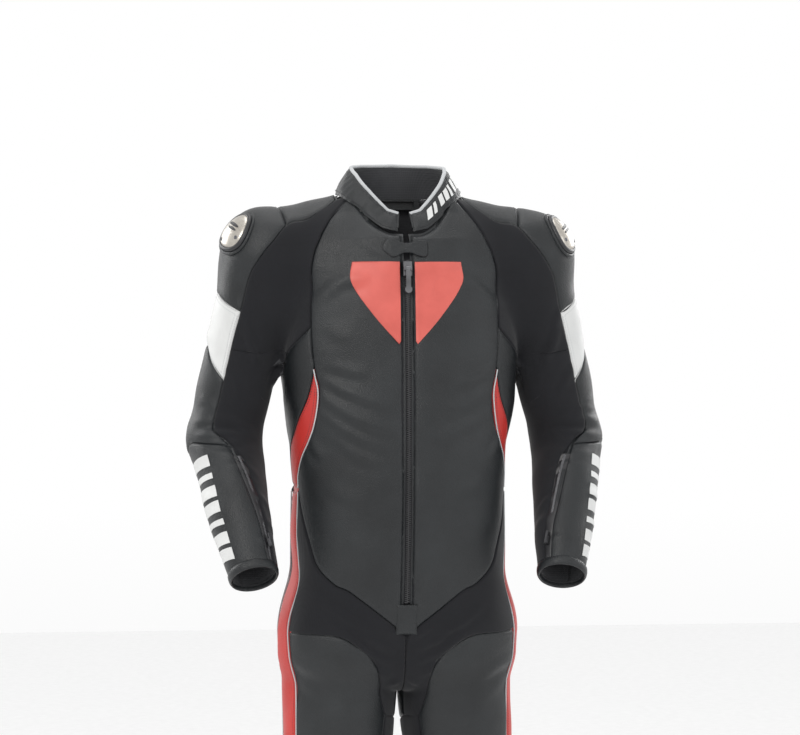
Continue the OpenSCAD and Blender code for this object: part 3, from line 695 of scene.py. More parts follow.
def cutGrid(lines, side, cell):
    # rows run across the seam lines, columns along them; steps are fine beside the edges
    lines = [np.asarray(l, float) * [side, 1, 1] for l in lines]

    def steps(length, count):
        # fixed steps beside both ends and even ones between
        k = np.minimum(1.0, length / (2 * seamSteps[-1] + 2 * cell))[..., None]
        edge = seamSteps * k
        inner = np.linspace(0, 1, count)[1:-1]
        middle = mix(edge[..., -1:], length[..., None] - edge[..., -1:], inner)
        return np.concatenate([edge, middle, (length[..., None] - edge)[..., ::-1]], -1)

    def spread(length):
        # number of even steps of one cell
        return max(4, int(np.ceil((length - 2 * seamSteps[-1]) / cell)) + 1)

    fine = np.linspace(0, 1, 60)
    lengths = [np.linalg.norm(np.diff(spline(l, fine), axis=0), axis=-1).sum() for l in lines]
    longest = max(lengths)
    v = steps(np.array(longest), spread(longest)) / longest
    rows = np.stack([spline(l, v) for l in lines], 1)
    rough = np.stack([np.linspace(0, 1, 36)] * len(v))
    laid = settle(spline(rows, rough), 2)
    run = np.concatenate([np.zeros((len(v), 1)), np.cumsum(np.linalg.norm(np.diff(laid, axis=1), axis=-1), 1)], 1)
    target = steps(run[:, -1], spread(run[:, -1].max()))
    u = np.stack([np.interp(t, r, rough[0]) for t, r in zip(target, run)])
    return settle(spline(rows, u))


def edgeDistance(p, plain):
    # along rows and columns to the nearest sewn edge
    def runs(axis):
        # length run from the start, and left to the end
        d = np.linalg.norm(np.diff(p, axis=axis), axis=-1)
        zero = np.zeros_like(np.take(d, [0], axis=axis))
        s = np.concatenate([zero, np.cumsum(d, axis=axis)], axis=axis)
        return s, np.take(s, [-1], axis=axis) - s
    (top, bottom), (left, right) = runs(0), runs(1)
    far = np.full(p.shape[:2], 1e3)
    for name, d in (("top", top), ("bottom", bottom), ("left", left), ("right", right)):
        if name not in plain:
            far = np.minimum(far, d)
    return far


def gridFaces(r, c, ring=False):
    # four corners of each cell of an r by c grid; a ring joins the last column to the first
    i, j = np.meshgrid(np.arange(r - 1), np.arange(c if ring else c - 1), indexing="ij")
    k = (j + 1) % c
    return np.stack([i * c + j, i * c + k, (i + 1) * c + k, (i + 1) * c + j], -1).reshape(-1, 4)


def stitchRow(path, normals, base):
    # short spindles laid end to end along the path
    gap = np.linalg.norm(np.diff(path, axis=0), axis=-1)
    run = np.concatenate([[0], np.cumsum(gap)])
    count = int((run[-1] - 2 * sewing["ends"]) / sewing["pitch"])
    if count < 1:
        return np.zeros((0, 3)), np.zeros((0, 4), int), np.zeros((0, 3))
    centre = sewing["ends"] + (np.arange(count) + 0.5) * (run[-1] - 2 * sewing["ends"]) / count
    at = lambda x, values: np.stack([np.interp(x, run, values[:, k]) for k in range(3)], -1)
    mid, n, root = at(centre, path), unit(at(centre, normals)), at(centre, base)
    way = unit(at(centre + 1, path) - at(centre - 1, path))
    side = np.cross(n, way)
    half, w, h = sewing["long"] / 2, sewing["wide"], sewing["tall"]
    outline = [(-half, 0, -0.1), (-half * 0.6, w, 0), (-half * 0.6, 0, h), (-half * 0.6, -w, 0),
               (half * 0.6, w, 0), (half * 0.6, 0, h), (half * 0.6, -w, 0), (half, 0, -0.1)]
    verts = np.stack([mid + a * way + b * side + (c + 0.05) * n for a, b, c in outline], 1)
    pattern = np.array([(0, 2, 1, 0), (0, 3, 2, 0), (1, 2, 5, 4), (2, 3, 6, 5), (4, 5, 7, 4), (5, 6, 7, 5)])
    quads = (pattern[None] + 8 * np.arange(count)[:, None, None]).reshape(-1, 4)
    return verts.reshape(-1, 3), quads, np.repeat(root, 8, 0)


class Making:
    # gathers vertices, faces and finishes of one piece; root is where each vertex sits on the form
    def __init__(self):
        self.verts, self.faces, self.finish, self.root, self.count = [], [], [], [], 0
        self.paints = []

    def add(self, verts, faces, paintName, root=None):
        if len(verts) == 0:
            return
        if paintName not in self.paints:
            self.paints.append(paintName)
        self.verts.append(verts)
        self.root.append(verts if root is None else root)
        self.faces.append(faces + self.count)
        self.finish.append(np.full(len(faces), self.paints.index(paintName)))
        self.count += len(verts)

    def build(self, name, smooth=True):
        verts = (np.concatenate(self.verts) - hungAt) / 1000
        quads = np.concatenate(self.faces)
        finish = np.concatenate(self.finish)
        triangle = (quads[:, 3] == quads[:, 0]) | (quads[:, 3] == quads[:, 2])
        sizes = np.where(triangle, 3, 4)
        keep = np.ones(quads.shape, bool)
        keep[triangle, 3] = False
        mesh = bpy.data.meshes.new(name)
        mesh.vertices.add(len(verts))
        mesh.vertices.foreach_set("co", verts.ravel().astype(np.float32))
        mesh.loops.add(int(sizes.sum()))
        mesh.loops.foreach_set("vertex_index", quads[keep].astype(np.int32))
        mesh.polygons.add(len(sizes))
        mesh.polygons.foreach_set("loop_start", np.concatenate([[0], np.cumsum(sizes)[:-1]]).astype(np.int32))
        mesh.polygons.foreach_set("material_index", finish.astype(np.int32))
        mesh.polygons.foreach_set("use_smooth", np.full(len(sizes), smooth))
        for p in self.paints:
            mesh.materials.append(paint[p])
        mesh.update(calc_edges=True)
        obj = bpy.data.objects.new(name, mesh)
        bpy.context.scene.collection.objects.link(obj)
        return obj


triangles = 0


def place(making, name, follow, side, nodes, smooth=True):
    # puts the piece on its body; a piece at a joint is baked where it lies and put on no body, its share of the joint
    # worked out but not used
    global triangles
    obj = making.build(name, smooth)
    end = "_left" if side > 0 else "_right"
    if follow in bends:
        first, second, share, centre = bends[follow]
        first = first if first == "torso" else first + end
        at = (centre * [side, 1, 1] - hungAt) / 1000
        second + end
        tuple(at)
        tuple(at - [0, 0, 0.05])
        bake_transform(obj)
        weight = share(np.concatenate(making.root))
    else:
        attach(obj, follow if follow in frame["bodies"] else follow + end)
    if nodes:
        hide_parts(*nodes)
    triangles += sum(len(f) for f in making.faces) * 2
    return obj


def shellBetween(making, top, low, paintTop, paintLow, root, swapped):
    # closed skin between two equal grids, with its own wall round the rim so that the shading stays clean
    r, c = top.shape[:2]
    quads = gridFaces(r, c)
    rim = np.concatenate([np.arange(c), np.arange(1, r) * c + c - 1, (r - 1) * c + np.arange(c - 2, -1, -1),
                          np.arange(r - 2, 0, -1) * c])
    k = np.arange(len(rim))
    nxt = np.roll(k, -1)
    wall = np.stack([k, k + len(k), nxt + len(k), nxt], -1)
    if swapped:
        quads, wall = quads[:, ::-1], wall[:, ::-1]
    top, low, root = (g.reshape(-1, 3) for g in (top, low, root))
    making.add(top, quads, paintTop, root)
    making.add(low, quads[:, ::-1], paintLow, root)
    making.add(np.vstack([top[rim], low[rim]]), wall, paintTop, np.vstack([root[rim], root[rim]]))


def wound(grid, n):
    # true where a grid's faces would point against n
    return np.cross(grid[0, 1] - grid[0, 0], grid[1, 0] - grid[0, 0]) @ n < 0


def layPanel(making, lines, slotName, side=1, plain=(), stitched=True, off=0.0, cell=4.2, ribs=None):
    # a panel with rolled seams: outer skin, a flange under its neighbours and a backing
    depth, roll, puff, thread = cloths[slotName]
    p = cutGrid(lines, side, cell)
    n = outward(p)
    d = edgeDistance(p, plain)
    h = off + creases(p, n) - roll * np.exp(-(d / 1.5) ** 2) - 0.5 * roll * np.exp(-(d / 5) ** 2) * (thread is not None)
    h += puff * (1 - np.exp(-d / 16))
    if ribs is not None:
        h += ribs(p, d)
    outer = p + h[..., None] * n
    rows = {"left": (slice(None), 0, 2), "right": (slice(None), -1, -3), "top": (0, slice(None), 2),
            "bottom": (-1, slice(None), -3)}
    if thread and stitched:
        for name in ("left", "right", "top", "bottom"):
            if name in plain:
                continue
            for k in sewing["rows"]:
                if name in ("left", "right"):
                    c = k if name == "left" else -1 - k
                    take = (slice(4, -4), c)
                else:
                    take = (k if name == "top" else -1 - k, slice(4, -4))
                verts, quads, root = stitchRow(outer[take], n[take], p[take])
                making.add(verts, quads, "pale_thread" if slotName == "white_leather" else thread, root)
    # flange: edge rows are repeated lower down, then pushed 4 mm out under the neighbour
    grid, norm, root, lift = p, n, p, h

    def extend(grid, norm, root, lift, axis, last):
        # two more rows at one edge, both lowered by the panel's depth, the outer one 4 mm further out
        take = (lambda g, k: np.take(g, [-1 - k if last else k], axis=axis))
        away = unit(take(grid, 0) - take(grid, 2))
        near, under = take(grid, 0), take(grid, 0) + away * (4.0 if off == 0 else 0.0)
        first, second = (near, under) if last else (under, near)
        low = np.full(take(lift, 0).shape, off - depth)
        stack = lambda a, b, middle: np.concatenate([a, b, middle] if not last else [middle, a, b], axis)
        return (stack(first, second, grid), stack(take(norm, 0), take(norm, 0), norm),
                stack(take(root, 0), take(root, 0), root), stack(low, low, lift))

    for name, axis, last in (("left", 1, False), ("right", 1, True), ("top", 0, False), ("bottom", 0, True)):
        if name not in plain:
            grid, norm, root, lift = extend(grid, norm, root, lift, axis, last)
    top = grid + lift[..., None] * norm
    low = grid + (off - depth - 0.8) * norm
    shellBetween(making, top, low, slotName, "lining_mesh" if off == 0 else slotName, root, wound(p, n[0, 0]))
    return outer, n, p


def sweep(making, path, radius, paintName, sides=8, root=None, normals=None):
    # round cord along a path, closed at both ends by shrinking to a point
    path = np.asarray(path, float)
    way = unit(np.gradient(path, axis=0))
    n = outward(path) if normals is None else normals
    side = unit(np.cross(n, way))
    n = np.cross(way, side)
    size = np.full(len(path), radius)
    size[0] = size[-1] = 0.02
    path = np.vstack([path[:1], path[:1], path[1:-1], path[-1:], path[-1:]])
    n, side = (np.vstack([k[:1], k, k[-1:]]) for k in (n, side))
    size = np.concatenate([[0.02, radius], size[1:-1], [radius, 0.02]])
    a = np.arange(sides) * 2 * np.pi / sides
    ring = path[:, None] + size[:, None, None] * (np.cos(a)[None, :, None] * n[:, None] + np.sin(a)[None, :, None] * side[:, None])
    base = path if root is None else np.vstack([root[:1], root, root[-1:]])
    making.add(ring.reshape(-1, 3), gridFaces(len(path), sides, ring=True), paintName, np.repeat(base, sides, 0))


def sewPanel(name, follow, side, slotName, nodes, *patches, **how):
    # one piece of one or more panels, each given by the lines it is stretched between
    making = Making()
    for lines in patches:
        layPanel(making, lines, slotName, side, **how)
    place(making, name, follow, side, nodes)


# body panels
for side, end in ((1, "left"), (-1, "right")):
    sewPanel("front_skin_" + end, "hip", side, "black_leather", ["front_panel_" + end],
             [zipEdge, startAt(front(27, -52), zipEdge, frontSeam, 0.35),
              startAt(front(48, -39), zipEdge, frontSeam, 0.7), frontSeam])

    m = Making()
    layPanel(m, [piece(frontSeam, 5, 9), between(piece(frontSeam, 5, 9), redRear, 0.5), redRear], "red_leather", side)
    # pale grey cord along the red panel's inner edge: piping whose pale colour is a painted highlight line on that seam
    edge = settle(spline(piece(frontSeam, 5, 9) * [side, 1, 1], np.linspace(0.01, 0.99, 90)))
    sweep(m, edge + 0.3 * outward(edge), 1.0, "binding", 6, edge)
    place(m, "red_side_" + end, "torso", side, ["side_panels"])

    sewPanel("underarm_skin_" + end, "shoulder", side, "black_leather", ["underarm_panels"],
             [np.vstack([piece(frontSeam, 4, 5), redRear[1:]]),
             [spline(pitRow, 0.25), trunk(62, -275), trunk(88, -345), trunk(99.5, -404)],
             [pitFront, trunk(74, -300), trunk(93, -350), trunk(101, -404)],
             [pitLow, trunk(94, -320), trunk(103.5, -404)],
             [pitBack, trunk(108, -310), trunk(107, -404)],
             [spline(pitRearRow, 0.25), trunk(116, -300), trunk(109, -404)],
             piece(backSeam, 4, 8)])

    crease = [back(1.2, -468), back(1, -520), back(1, -575), back(1, -630), back(1, -668), [1, 40, -690],
              [1, -24, -693]]
    sewPanel("seat_skin_" + end, "hip", side, "black_leather", ["seat_panel"],
             [crease, startAt(trunk(155, -468), crease, seatEdge, 0.34),
              startAt(trunk(125, -468), crease, seatEdge, 0.67), seatEdge])

    upper = np.vstack([frontSeam[9:16],
                       [front(4, -610), front(1, -625), front(1, -650), front(1, -672), [1, -24, -693]]])
    lower = np.vstack([[spline(stripeFront, k / 6) for k in (0, 1, 2, 2.85)],
                       [spline(thighTop, k / 6) for k in (0.15, 1, 2, 3, 3.4, 3.7, 4, 5, 6)]])
    sewPanel("groin_cloth_" + end, "hip", side, "stretch_fabric", ["hip_stretch"],
             [upper, between(upper, lower, 0.5, 24), lower])

    # shoulder and sleeve
    def sleeve(i, j):
        # five lines across the outside of the sleeve, from seam point i to j
        f, t, b = piece(sleeveFront, i, j), piece(sleeveTop, i, j), piece(sleeveBack, i, j)
        return [f, between(f, t, 0.5, 6), t, between(t, b, 0.5, 6), b]

    for name, node, i, j, slotName, follow in (
            ("yoke_skin_", "yoke_", 0, 2, "black_leather", "shoulder"),
            ("cap_skin_", "shoulder_cap_", 2, 4, "black_leather", "shoulder"),
            ("band_skin_", "sleeve_band_", 4, 6, "white_leather", "upper_arm"),
            ("elbow_skin_", "elbow_panel_", 6, 9, "black_leather", "elbow"),
            ("forearm_skin_", "forearm_panel_", 9, 13, "black_leather", "elbow")):
        sewPanel(name + end, follow, side, slotName, [node + end], sleeve(i, j))

    sewPanel("shoulder_cloth_" + end, "shoulder", side, "stretch_fabric", ["shoulder_stretch_" + end],
             [piece(frontSeam, 0, 4), [front(77, -11), front(118, -40), [148, -64, -84], [164, -60, -140],
                                       [166, -50, -186], pitFront],
              piece(sleeveFront, 0, 5)],
             [piece(backSeam, 0, 4), [back(74, -5), [116, 74, -40], [148, 74, -84], [166, 68, -140],
                                      [166, 54, -186], pitBack],
              piece(sleeveBack, 0, 5)])

    tops = [arm(26, 132), spline(pitRow, 0.75), pitFront, pitLow, pitBack, spline(pitRearRow, 0.75), arm(-190, 110)]
    starts = [132, 150, 176, 190, 176, 140, 110]
    middle = 205

    def across(k, s):
        # sixths of the way round the inside of the sleeve
        return arm(mix(frontAngle(s) - slot(s), backAngle(s), k / 6), s)

    sewPanel("upper_sleeve_cloth_" + end, "shoulder", side, "stretch_fabric", ["arm_stretch_" + end],
             [[tops[k]] + [across(k, s) for s in np.linspace(min(starts[k], middle - 15), middle,
                                                             5)[1:]] for k in range(7)],
             plain=("bottom",))
    sewPanel("lower_sleeve_cloth_" + end, "elbow", side, "stretch_fabric", ["arm_stretch_" + end],
             [[across(k, s) for s in np.linspace(middle, wristS, 10)] for k in range(7)], plain=("top",))
    print("torso and sleeve laid:", end)

# back, waist and lining
centre = [back(0, z) for z in (-5, -60, -120, -180, -240, -300, -350, -404)]
mid = between(centre, backSeam, 0.55, 10)
sewPanel("back_skin", "torso", 1, "black_leather", ["back_panel"], [flip(backSeam), flip(mid), centre, mid, backSeam])

ribbed = {"pitch": 12.6, "height": 1.9}


def waistRibs(p, d):
    # ribs round the waist, gone at the seams: height cos(turn * up / pitch) (1 - exp(-(d / 4)^2))
    return ribbed["height"] * np.cos(6.2832 * (p[..., 2] + 436.5) / ribbed["pitch"]) * (1 - np.exp(-(d / 4) ** 2))


m = Making()
layPanel(m, [[trunk(a, z) for z in (-405, -436, -468)] for a in (99, 110, 135, 160, 180, 200, 225, 250, 261)],
         "stretch_fabric", cell=2.9, ribs=waistRibs)
place(m, "waist_ribs", "torso", 1, ["lumbar_stretch"])

m = Making()
p = settle(np.array([[trunk(a, z) for a in np.linspace(9, 351, 110)] for z in np.linspace(-292, -512, 36)]))
n = outward(p)
quilt = (0.5 * np.sin(p[..., 2] / 9) * np.sin(np.arctan2(p[..., 0], p[..., 1]) * 24))[..., None]
outerFace = p - (5.2 - quilt * 0.5) * n
innerFace = p - (6.6 - quilt) * n
shellBetween(m, outerFace, innerFace, "lining_mesh", "lining_mesh", p, wound(p, n[0, 0]))
place(m, "body_lining", "torso", 1, ["torso_lining"])

# collar
collarShape = {"low": [(0, -50), (20, -44), (45, -12), (70, 5), (90, 14), (135, 5), (180, 0)],
               "rim": [(0, -27), (20, -20), (45, 8), (70, 32), (90, 43), (135, 48), (180, 50)], "thick": 2.4}


def collarAt(a, h, off):
    # a round the neck in degrees, h up the stand, off outwards
    a, h, off = np.broadcast_arrays(np.asarray(a, float), np.asarray(h, float), np.asarray(off, float))
    b = np.where(a > 180, 360 - a, a)
    s, c = np.sin(np.radians(a)), np.cos(np.radians(a))
    low = settle(np.stack([92 * s, -np.where(c > 0, 84, 62) * c, lookup(b, collarShape["low"])], -1))
    rim = np.stack([67 * s, -np.where(c > 0, 66, 60) * c, lookup(b, collarShape["rim"])], -1)
    return mix(low, rim, h[..., None]) + off[..., None] * np.stack([s, -c, 0.2 + 0 * s], -1)


def collarLift(a, h):
    # padded stand: an arch over its height and two slow waves round it
    pad = 1.5 * np.sin(np.pi * np.clip((h - 0.08) / 0.9, 0, 1)) ** 0.6
    return 1.7 + pad + 0.5 * np.sin(a * 0.31 + h * 4) * np.sin(np.pi * h) + 0.35 * np.sin(a * 0.83 - h * 7)


m = Making()
a = np.concatenate([[7, 7.6, 8.6, 10.5, 13], np.linspace(16, 344, 150), [347, 349.5, 351.4, 352.4, 353]])
h = np.array([0.0, 0.05, 0.11, 0.17, 0.25, 0.4, 0.55, 0.7, 0.83, 0.91, 0.965, 1.0])
aa, hh = np.meshgrid(a, h)
endRoll = np.exp(-((np.minimum(aa - 7, 353 - aa)) / 1.6) ** 2)
outerOff = collarLift(aa, hh) - 1.8 * endRoll - 1.6 * np.exp(-((hh - 0.02) / 0.06) ** 2)
top = collarAt(aa, hh, outerOff)
low = collarAt(aa, hh, 0 * aa - collarShape["thick"])
shellBetween(m, top, low, "black_leather", "lining_mesh", collarAt(aa, hh, 0), wound(top, np.array([0.2, -1, 0.2])))
for level in (0.14, 0.88):
    path = collarAt(np.linspace(11, 349, 240), level, 2.0 + (1.3 if level < 0.5 else 1.0))
    flat = collarAt(np.linspace(11, 349, 240), level, 3) - collarAt(np.linspace(11, 349, 240), level, 2)
    v, q, r = stitchRow(path, unit(flat), path)
    m.add(v, q, "thread", r)
place(m, "stand_collar", "torso", 1, ["collar"])

m = Making()
rimPath = collarAt(np.linspace(7, 353, 200), 1.035, 0.2)
sweep(m, rimPath, 2.7, "binding", 10, normals=np.tile([0.0, 0.0, 1.0], (200, 1)))
ends = [collarAt(np.full(24, side), np.linspace(1.03, 0.16, 24), 0.2) for side in (7.2, 352.8)]
for line in ends:
    sweep(m, line, 1.9, "black_leather", 8, normals=np.tile([0.0, -1.0, 0.0], (24, 1)))
place(m, "collar_edge", "torso", 1, ["collar_binding"])

# plain slanted bars on the wearer's left of the collar
m = Making()
barsOnCollar = {"from": 22, "pitch": 8.6, "wide": (6.0, 3.2, 6.0, 6.0, 3.2, 6.0, 6.0),
                "low": 0.34, "high": 0.8, "slant": 3.4}
for i, wide in enumerate(barsOnCollar["wide"]):
    u, v = np.meshgrid(np.linspace(0, 1, 6), np.linspace(0, 1, 7))
    aa = barsOnCollar["from"] + i * barsOnCollar["pitch"] + wide * u + barsOnCollar["slant"] * v
    hh = mix(barsOnCollar["low"], barsOnCollar["high"], v)
    lift = collarLift(aa, hh)
    onStand = collarAt(aa, hh, 0)
    shellBetween(m, collarAt(aa, hh, lift + 0.55), collarAt(aa, hh, lift - 0.4), "white_leather", "white_leather",
                 onStand, wound(onStand, np.array([0.5, -1, 0.1])))
place(m, "collar_bars", "torso", 1, [])
print("collar made")

# front zip
zipMaking = {"pitch": 2.9, "toothLong": 1.7, "top": -88, "end": -566}


def onArc(x, depth, z):
    # point on the zip's big circle, depth measured inwards
    r = body["zipCurve"]
    tilt = np.arcsin((np.asarray(z, float) - body["arcZ"]) / r)
    rho = r - np.asarray(depth, float)
    x, y, z = np.broadcast_arrays(x, body["arcY"] + r - rho * np.cos(tilt), body["arcZ"] + rho * np.sin(tilt))
    return np.stack([x, y, z], -1).astype(float)


m = Making()
for side in (1, -1):
    tapeLines = side * np.array([1.0, 1.8, 3.6, 4.4, 6, 8, 10, 12, 14.4])
    u, z = np.meshgrid(tapeLines, np.linspace(zipMaking["top"], zipMaking["end"], 220))
    ridge = 0.5 * np.exp(-((np.abs(u) - 4.0) / 0.7) ** 2) + 0.12 * np.sin(z * 2.2)
    middle = onArc(u, 4, z)
    shellBetween(m, onArc(u, 3.4 - ridge, z), onArc(u, 4.9, z), "tape", "tape",
                 middle, wound(middle, np.array([0, -1.0, 0])))
    z0 = np.arange(zipMaking["top"] - 2, zipMaking["end"] + 2, -zipMaking["pitch"])
    z0 = z0 - (zipMaking["pitch"] / 2 if side < 0 else 0)
    box = np.array([(x, d, l) for x in (-0.7, 3.3) for d in (0.35, 3.2) for l in (-0.5, 0.5)])
    corner = np.stack([onArc(side * x, d + (0.5 if x > 1 else 0), z0 + l * zipMaking["toothLong"]) for x, d,
                       l in box], 1)
    pattern = np.array([(0, 1, 3, 2), (4, 6, 7, 5), (0, 4, 5, 1), (2, 3, 7, 6), (0, 2, 6, 4), (1, 5, 7, 3)])
    pattern = pattern if side > 0 else pattern[:, ::-1]
    teeth = pattern[None] + 8 * np.arange(len(z0))[:, None, None]
    m.add(corner.reshape(-1, 3), teeth.reshape(-1, 4), "zip_plastic")
place(m, "front_zip_teeth", "torso", 1, ["zip_stringers"], smooth=False)

# leather patch over the zip's lower end
m = Making()
cloths["patch"] = (2.4, 1.5, 0.4, "thread")
paint["patch"] = paint["black_leather"]
layPanel(m, [[front(x, z) for z in (-567, -588, -609)] for x in (-15.5, 0, 15.5)], "patch", off=2.3, cell=3)
place(m, "zip_end_patch", "torso", 1, ["zip_garage"])

# plain red shield, halved by the zip; its film red is painted lighter and paler with the top light on it
for side, end in ((1, "left"), (-1, "right")):
    m = Making()
    inner = [front(10.5, z) for z in (-92, -130, -165, -202)]
    outer = [front(76, -92), front(77, -122), front(48, -166), front(13, -206)]
    layPanel(m, [inner, between(inner, outer, 0.5, 4), outer], "emblem_film", side, off=1.35, cell=4)
    place(m, "shield_" + end, "torso", side, ["chest_badge"])

# collar tab: two lobes with a narrow waist, rolled edge and a row of stitches
m = Making()
tabShape = {"outline": [(29, 12), (29, -13), (14, -11), (6, -7), (-6, -7), (-20, -15), (-34, -4),
                        (-35, 3), (-30, 12), (-22, 14), (-6, 7), (6, 7), (14, 11)], "at": -73}
outline = np.array(tabShape["outline"], float)
outline = np.vstack([outline, outline[:1]])
dense = np.concatenate([mix(outline[i], outline[i + 1],
                            np.linspace(0, 1, 13)[:-1, None]) for i in range(len(outline) - 1)])
k = 9
padded = np.vstack([dense[-k:], dense, dense[:k]])
smoothed = np.stack([np.convolve(padded[:, j], np.ones(k) / k, "same")[k:-k] for j in (0, 1)], -1)
r = np.array([0.02, 0.2, 0.4, 0.6, 0.76, 0.86, 0.93, 0.97, 1.0])
face = smoothed[None] * r[:, None, None]
rise = np.array([4.6, 4.6, 4.5, 4.4, 4.2, 3.9, 3.7, 3.1, 1.9])
tilt = -np.arcsin((tabShape["at"] - body["arcZ"]) / body["zipCurve"])


def tabPoint(x, up, out):
    # x, height and rise over the zip arc, turned to lie on it
    y = -body["zipCurve"] - out
    z = body["arcZ"] + y * np.sin(tilt) + up * np.cos(tilt)
    return np.stack([x, body["arcY"] + body["zipCurve"] + y * np.cos(tilt) - up * np.sin(tilt), z], -1)


bow = 0.35 * np.sin(face[..., 0] / 4.5)
topRings = tabPoint(face[..., 0], face[..., 1], rise[:, None] + bow)
lowRings = tabPoint(face[..., 0], face[..., 1], 1.6 + 0 * rise[:, None] + 0 * bow)
allRings = np.concatenate([topRings, lowRings[::-1]])
m.add(allRings.reshape(-1, 3), gridFaces(len(allRings), allRings.shape[1], ring=True), "black_leather")
seamX, seamUp = (smoothed[::2] * 0.86).T
edgeLine = tabPoint(seamX, seamUp, 3.95 + 0.35 * np.sin(seamX / 4.5))
standing = unit(tabPoint(0.0, 0.0, 1.0) - tabPoint(0.0, 0.0, 0.0))
v, q, rt = stitchRow(edgeLine, np.tile(standing, (len(edgeLine), 1)), edgeLine)
m.add(v, q, "thread", rt)
place(m, "collar_tab_skin", "collar_tab", 1, ["collar_tab"])
print("front zip, shield and tab made")

# shoulder plates
plateMaking = {"at": (42, -26, 36), "spokes": 96,
               "rim": [(26.5, -1.6), (26.5, 3.4), (27.2, 4.5), (28.5, 5.0), (30.5, 4.9), (32.2, 4.1), (33.4, 2.4),
                       (34.2, -0.2), (33, -1.6), (26.5, -1.6)],
               "dome": [(0.05, 7.2), (4, 7.15), (8, 7.0), (12, 6.75), (16, 6.35), (20, 5.8), (23, 5.25), (25.2, 4.7),
                        (26.4, 4.1), (27.0, 3.2), (27.0, -1.4), (14, -1.4), (0.05, -1.4)],
               "details": [(-3, 7, 12.5, 2.4, 0.35, 0.35, -0.6, "zip_plastic"),
                           (-3, 1.2, 10.5, 2.0, 0.35, 0.35, -0.6, "zip_plastic"),
                           (15, -13, 2.7, 2.7, 0, 0.9, -0.8, "slider_metal"),
                           (-17, -12, 2.7, 2.7, 0, 0.9, -0.8, "slider_metal")]}
for side, end in ((1, "left"), (-1, "right")):
    q = settle(shoulder + plateMaking["at"])
    mm = outward(q)
    u = unit(np.cross([0, 0, 1], mm))
    w = np.cross(mm, u)
    spokes = np.arange(plateMaking["spokes"]) * 2 * np.pi / plateMaking["spokes"]
    shape = 1 + 0.06 * np.cos(3 * spokes + 0.5)

    def onPlate(r, height):
        # rings of radius r round the plate's middle, laid on the form and lifted by height
        turned = np.cos(spokes)[None, :, None] * u + np.sin(spokes)[None, :, None] * w
        flat = q + (r[:, None] * shape)[..., None] * turned
        laid = settle(flat)
        return (laid + height[:, None, None] * outward(laid)) * [side, 1, 1], laid * [side, 1, 1]

    def rings(making, steps, paintName):
        # a profile of radius and height turned round the plate
        r, height = np.array(steps, float).T
        points, root = onPlate(r, height)
        faces = gridFaces(len(r), len(spokes), ring=True)
        making.add(points.reshape(-1, 3), faces[:, ::-1] if side > 0 else faces, paintName, root.reshape(-1, 3))

    m = Making()
    arch = [(36.6 - 3.2 * np.cos(t), 0.6 + 2.6 * np.sin(t)) for t in np.linspace(0, np.pi, 9)]
    rings(m, [(33.6, 0.2)] + arch + [(39.9, -0.4), (36.6, -1.5), (33.6, 0.2)], "black_leather")
    place(m, "plate_welt_" + end, "shoulder", side, [])
    m = Making()
    rings(m, plateMaking["rim"], "zip_plastic")
    rings(m, plateMaking["dome"], "metal")
    # slots and rivets: middle, half sizes, turn, height, foot and finish
    for cx, cy, rx, ry, turned, high, low, name in plateMaking["details"]:
        t = np.arange(24) * 2 * np.pi / 24
        steps = [(0.05, high * 0.4), (0.5, high * 0.5), (0.9, high), (1.0, high * 0.8), (1.0, low)]
        if name == "slider_metal":
            steps = [(0.05, high - 0.7), (0.45, high - 0.7), (0.5, high), (0.9, high), (1.0, high - 0.3), (1.0, low)]
        rr, hh = np.array(steps).T
        x, y = rr[:, None] * rx * np.cos(t), rr[:, None] * ry * np.sin(t)
        x, y = cx + x * np.cos(turned) - y * np.sin(turned), cy + x * np.sin(turned) + y * np.cos(turned)
        far = np.hypot(x, y)
        laid = settle(q + x[..., None] * u + y[..., None] * w)
        height = np.interp(far, *np.array(plateMaking["dome"][:10]).T) + hh[:, None]
        points = (laid + height[..., None] * outward(laid)) * [side, 1, 1]
        faces = gridFaces(len(rr), 24, ring=True)
        m.add(points.reshape(-1, 3), faces[:, ::-1] if side > 0 else faces, name,
              (laid * [side, 1, 1]).reshape(-1, 3))
    place(m, "plate_" + end, "upper_arm", side, ["shoulder_plate_" + end])

    # plain white bars down the forearm
    m = Making()
    bars = {"from": 303, "pitch": 24.5, "wide": (18, 9, 18, 18, 9, 18, 18), "low": 44, "high": 99, "slant": -11}
    for i, wide in enumerate(bars["wide"]):
        uu, vv = np.meshgrid(np.linspace(0, 1, max(4, int(wide / 3.5))), np.linspace(0, 1, 14))
        s0 = bars["from"] + i * bars["pitch"] + (bars["pitch"] - 6 - wide) / 2
        flat = np.array([[arm(mix(bars["low"], bars["high"], b), s0 + wide * c + bars["slant"] * b)
                          for c, b in zip(cr, br)] for cr, br in zip(uu, vv)])
        laid = settle(flat * [side, 1, 1])
        n = outward(laid)
        lift = (creases(laid, n) + 0.7)[..., None]
        shellBetween(m, laid + (lift + 0.55) * n, laid + (lift - 0.5) * n, "white_leather", "white_leather",
                     laid, wound(laid, n[0, 0]))
    place(m, "forearm_bars_" + end, "elbow", side, [])

    # cuff: bound edge, zip tape and teeth
    m = Making()
    a = np.arange(96) * 3.75
    profile = [(-4, -2.9), (-3, -0.6), (-1, 1.0), (3, 1.5), (7, 1.3), (9.6, 0.2), (10.2, -1.2), (8.5, -2.8),
               (2, -3.4), (-4, -3.4)]
    root = np.array([[arm(x, wristS + s) for x in a] for s, _ in profile]) * [side, 1, 1]
    root = settle(root)
    n = outward(root)
    rings3 = root + np.array([o for _, o in profile])[:, None, None] * n
    rings3 = np.concatenate([rings3, rings3[:1]])
    faces = gridFaces(len(rings3), 96, ring=True)
    m.add(rings3.reshape(-1, 3), faces[:, ::-1] if side > 0 else faces, "black_leather",
          np.concatenate([root, root[:1]]).reshape(-1, 3))
    place(m, "cuff_edge_" + end, "forearm", side, ["cuff_binding_" + end])

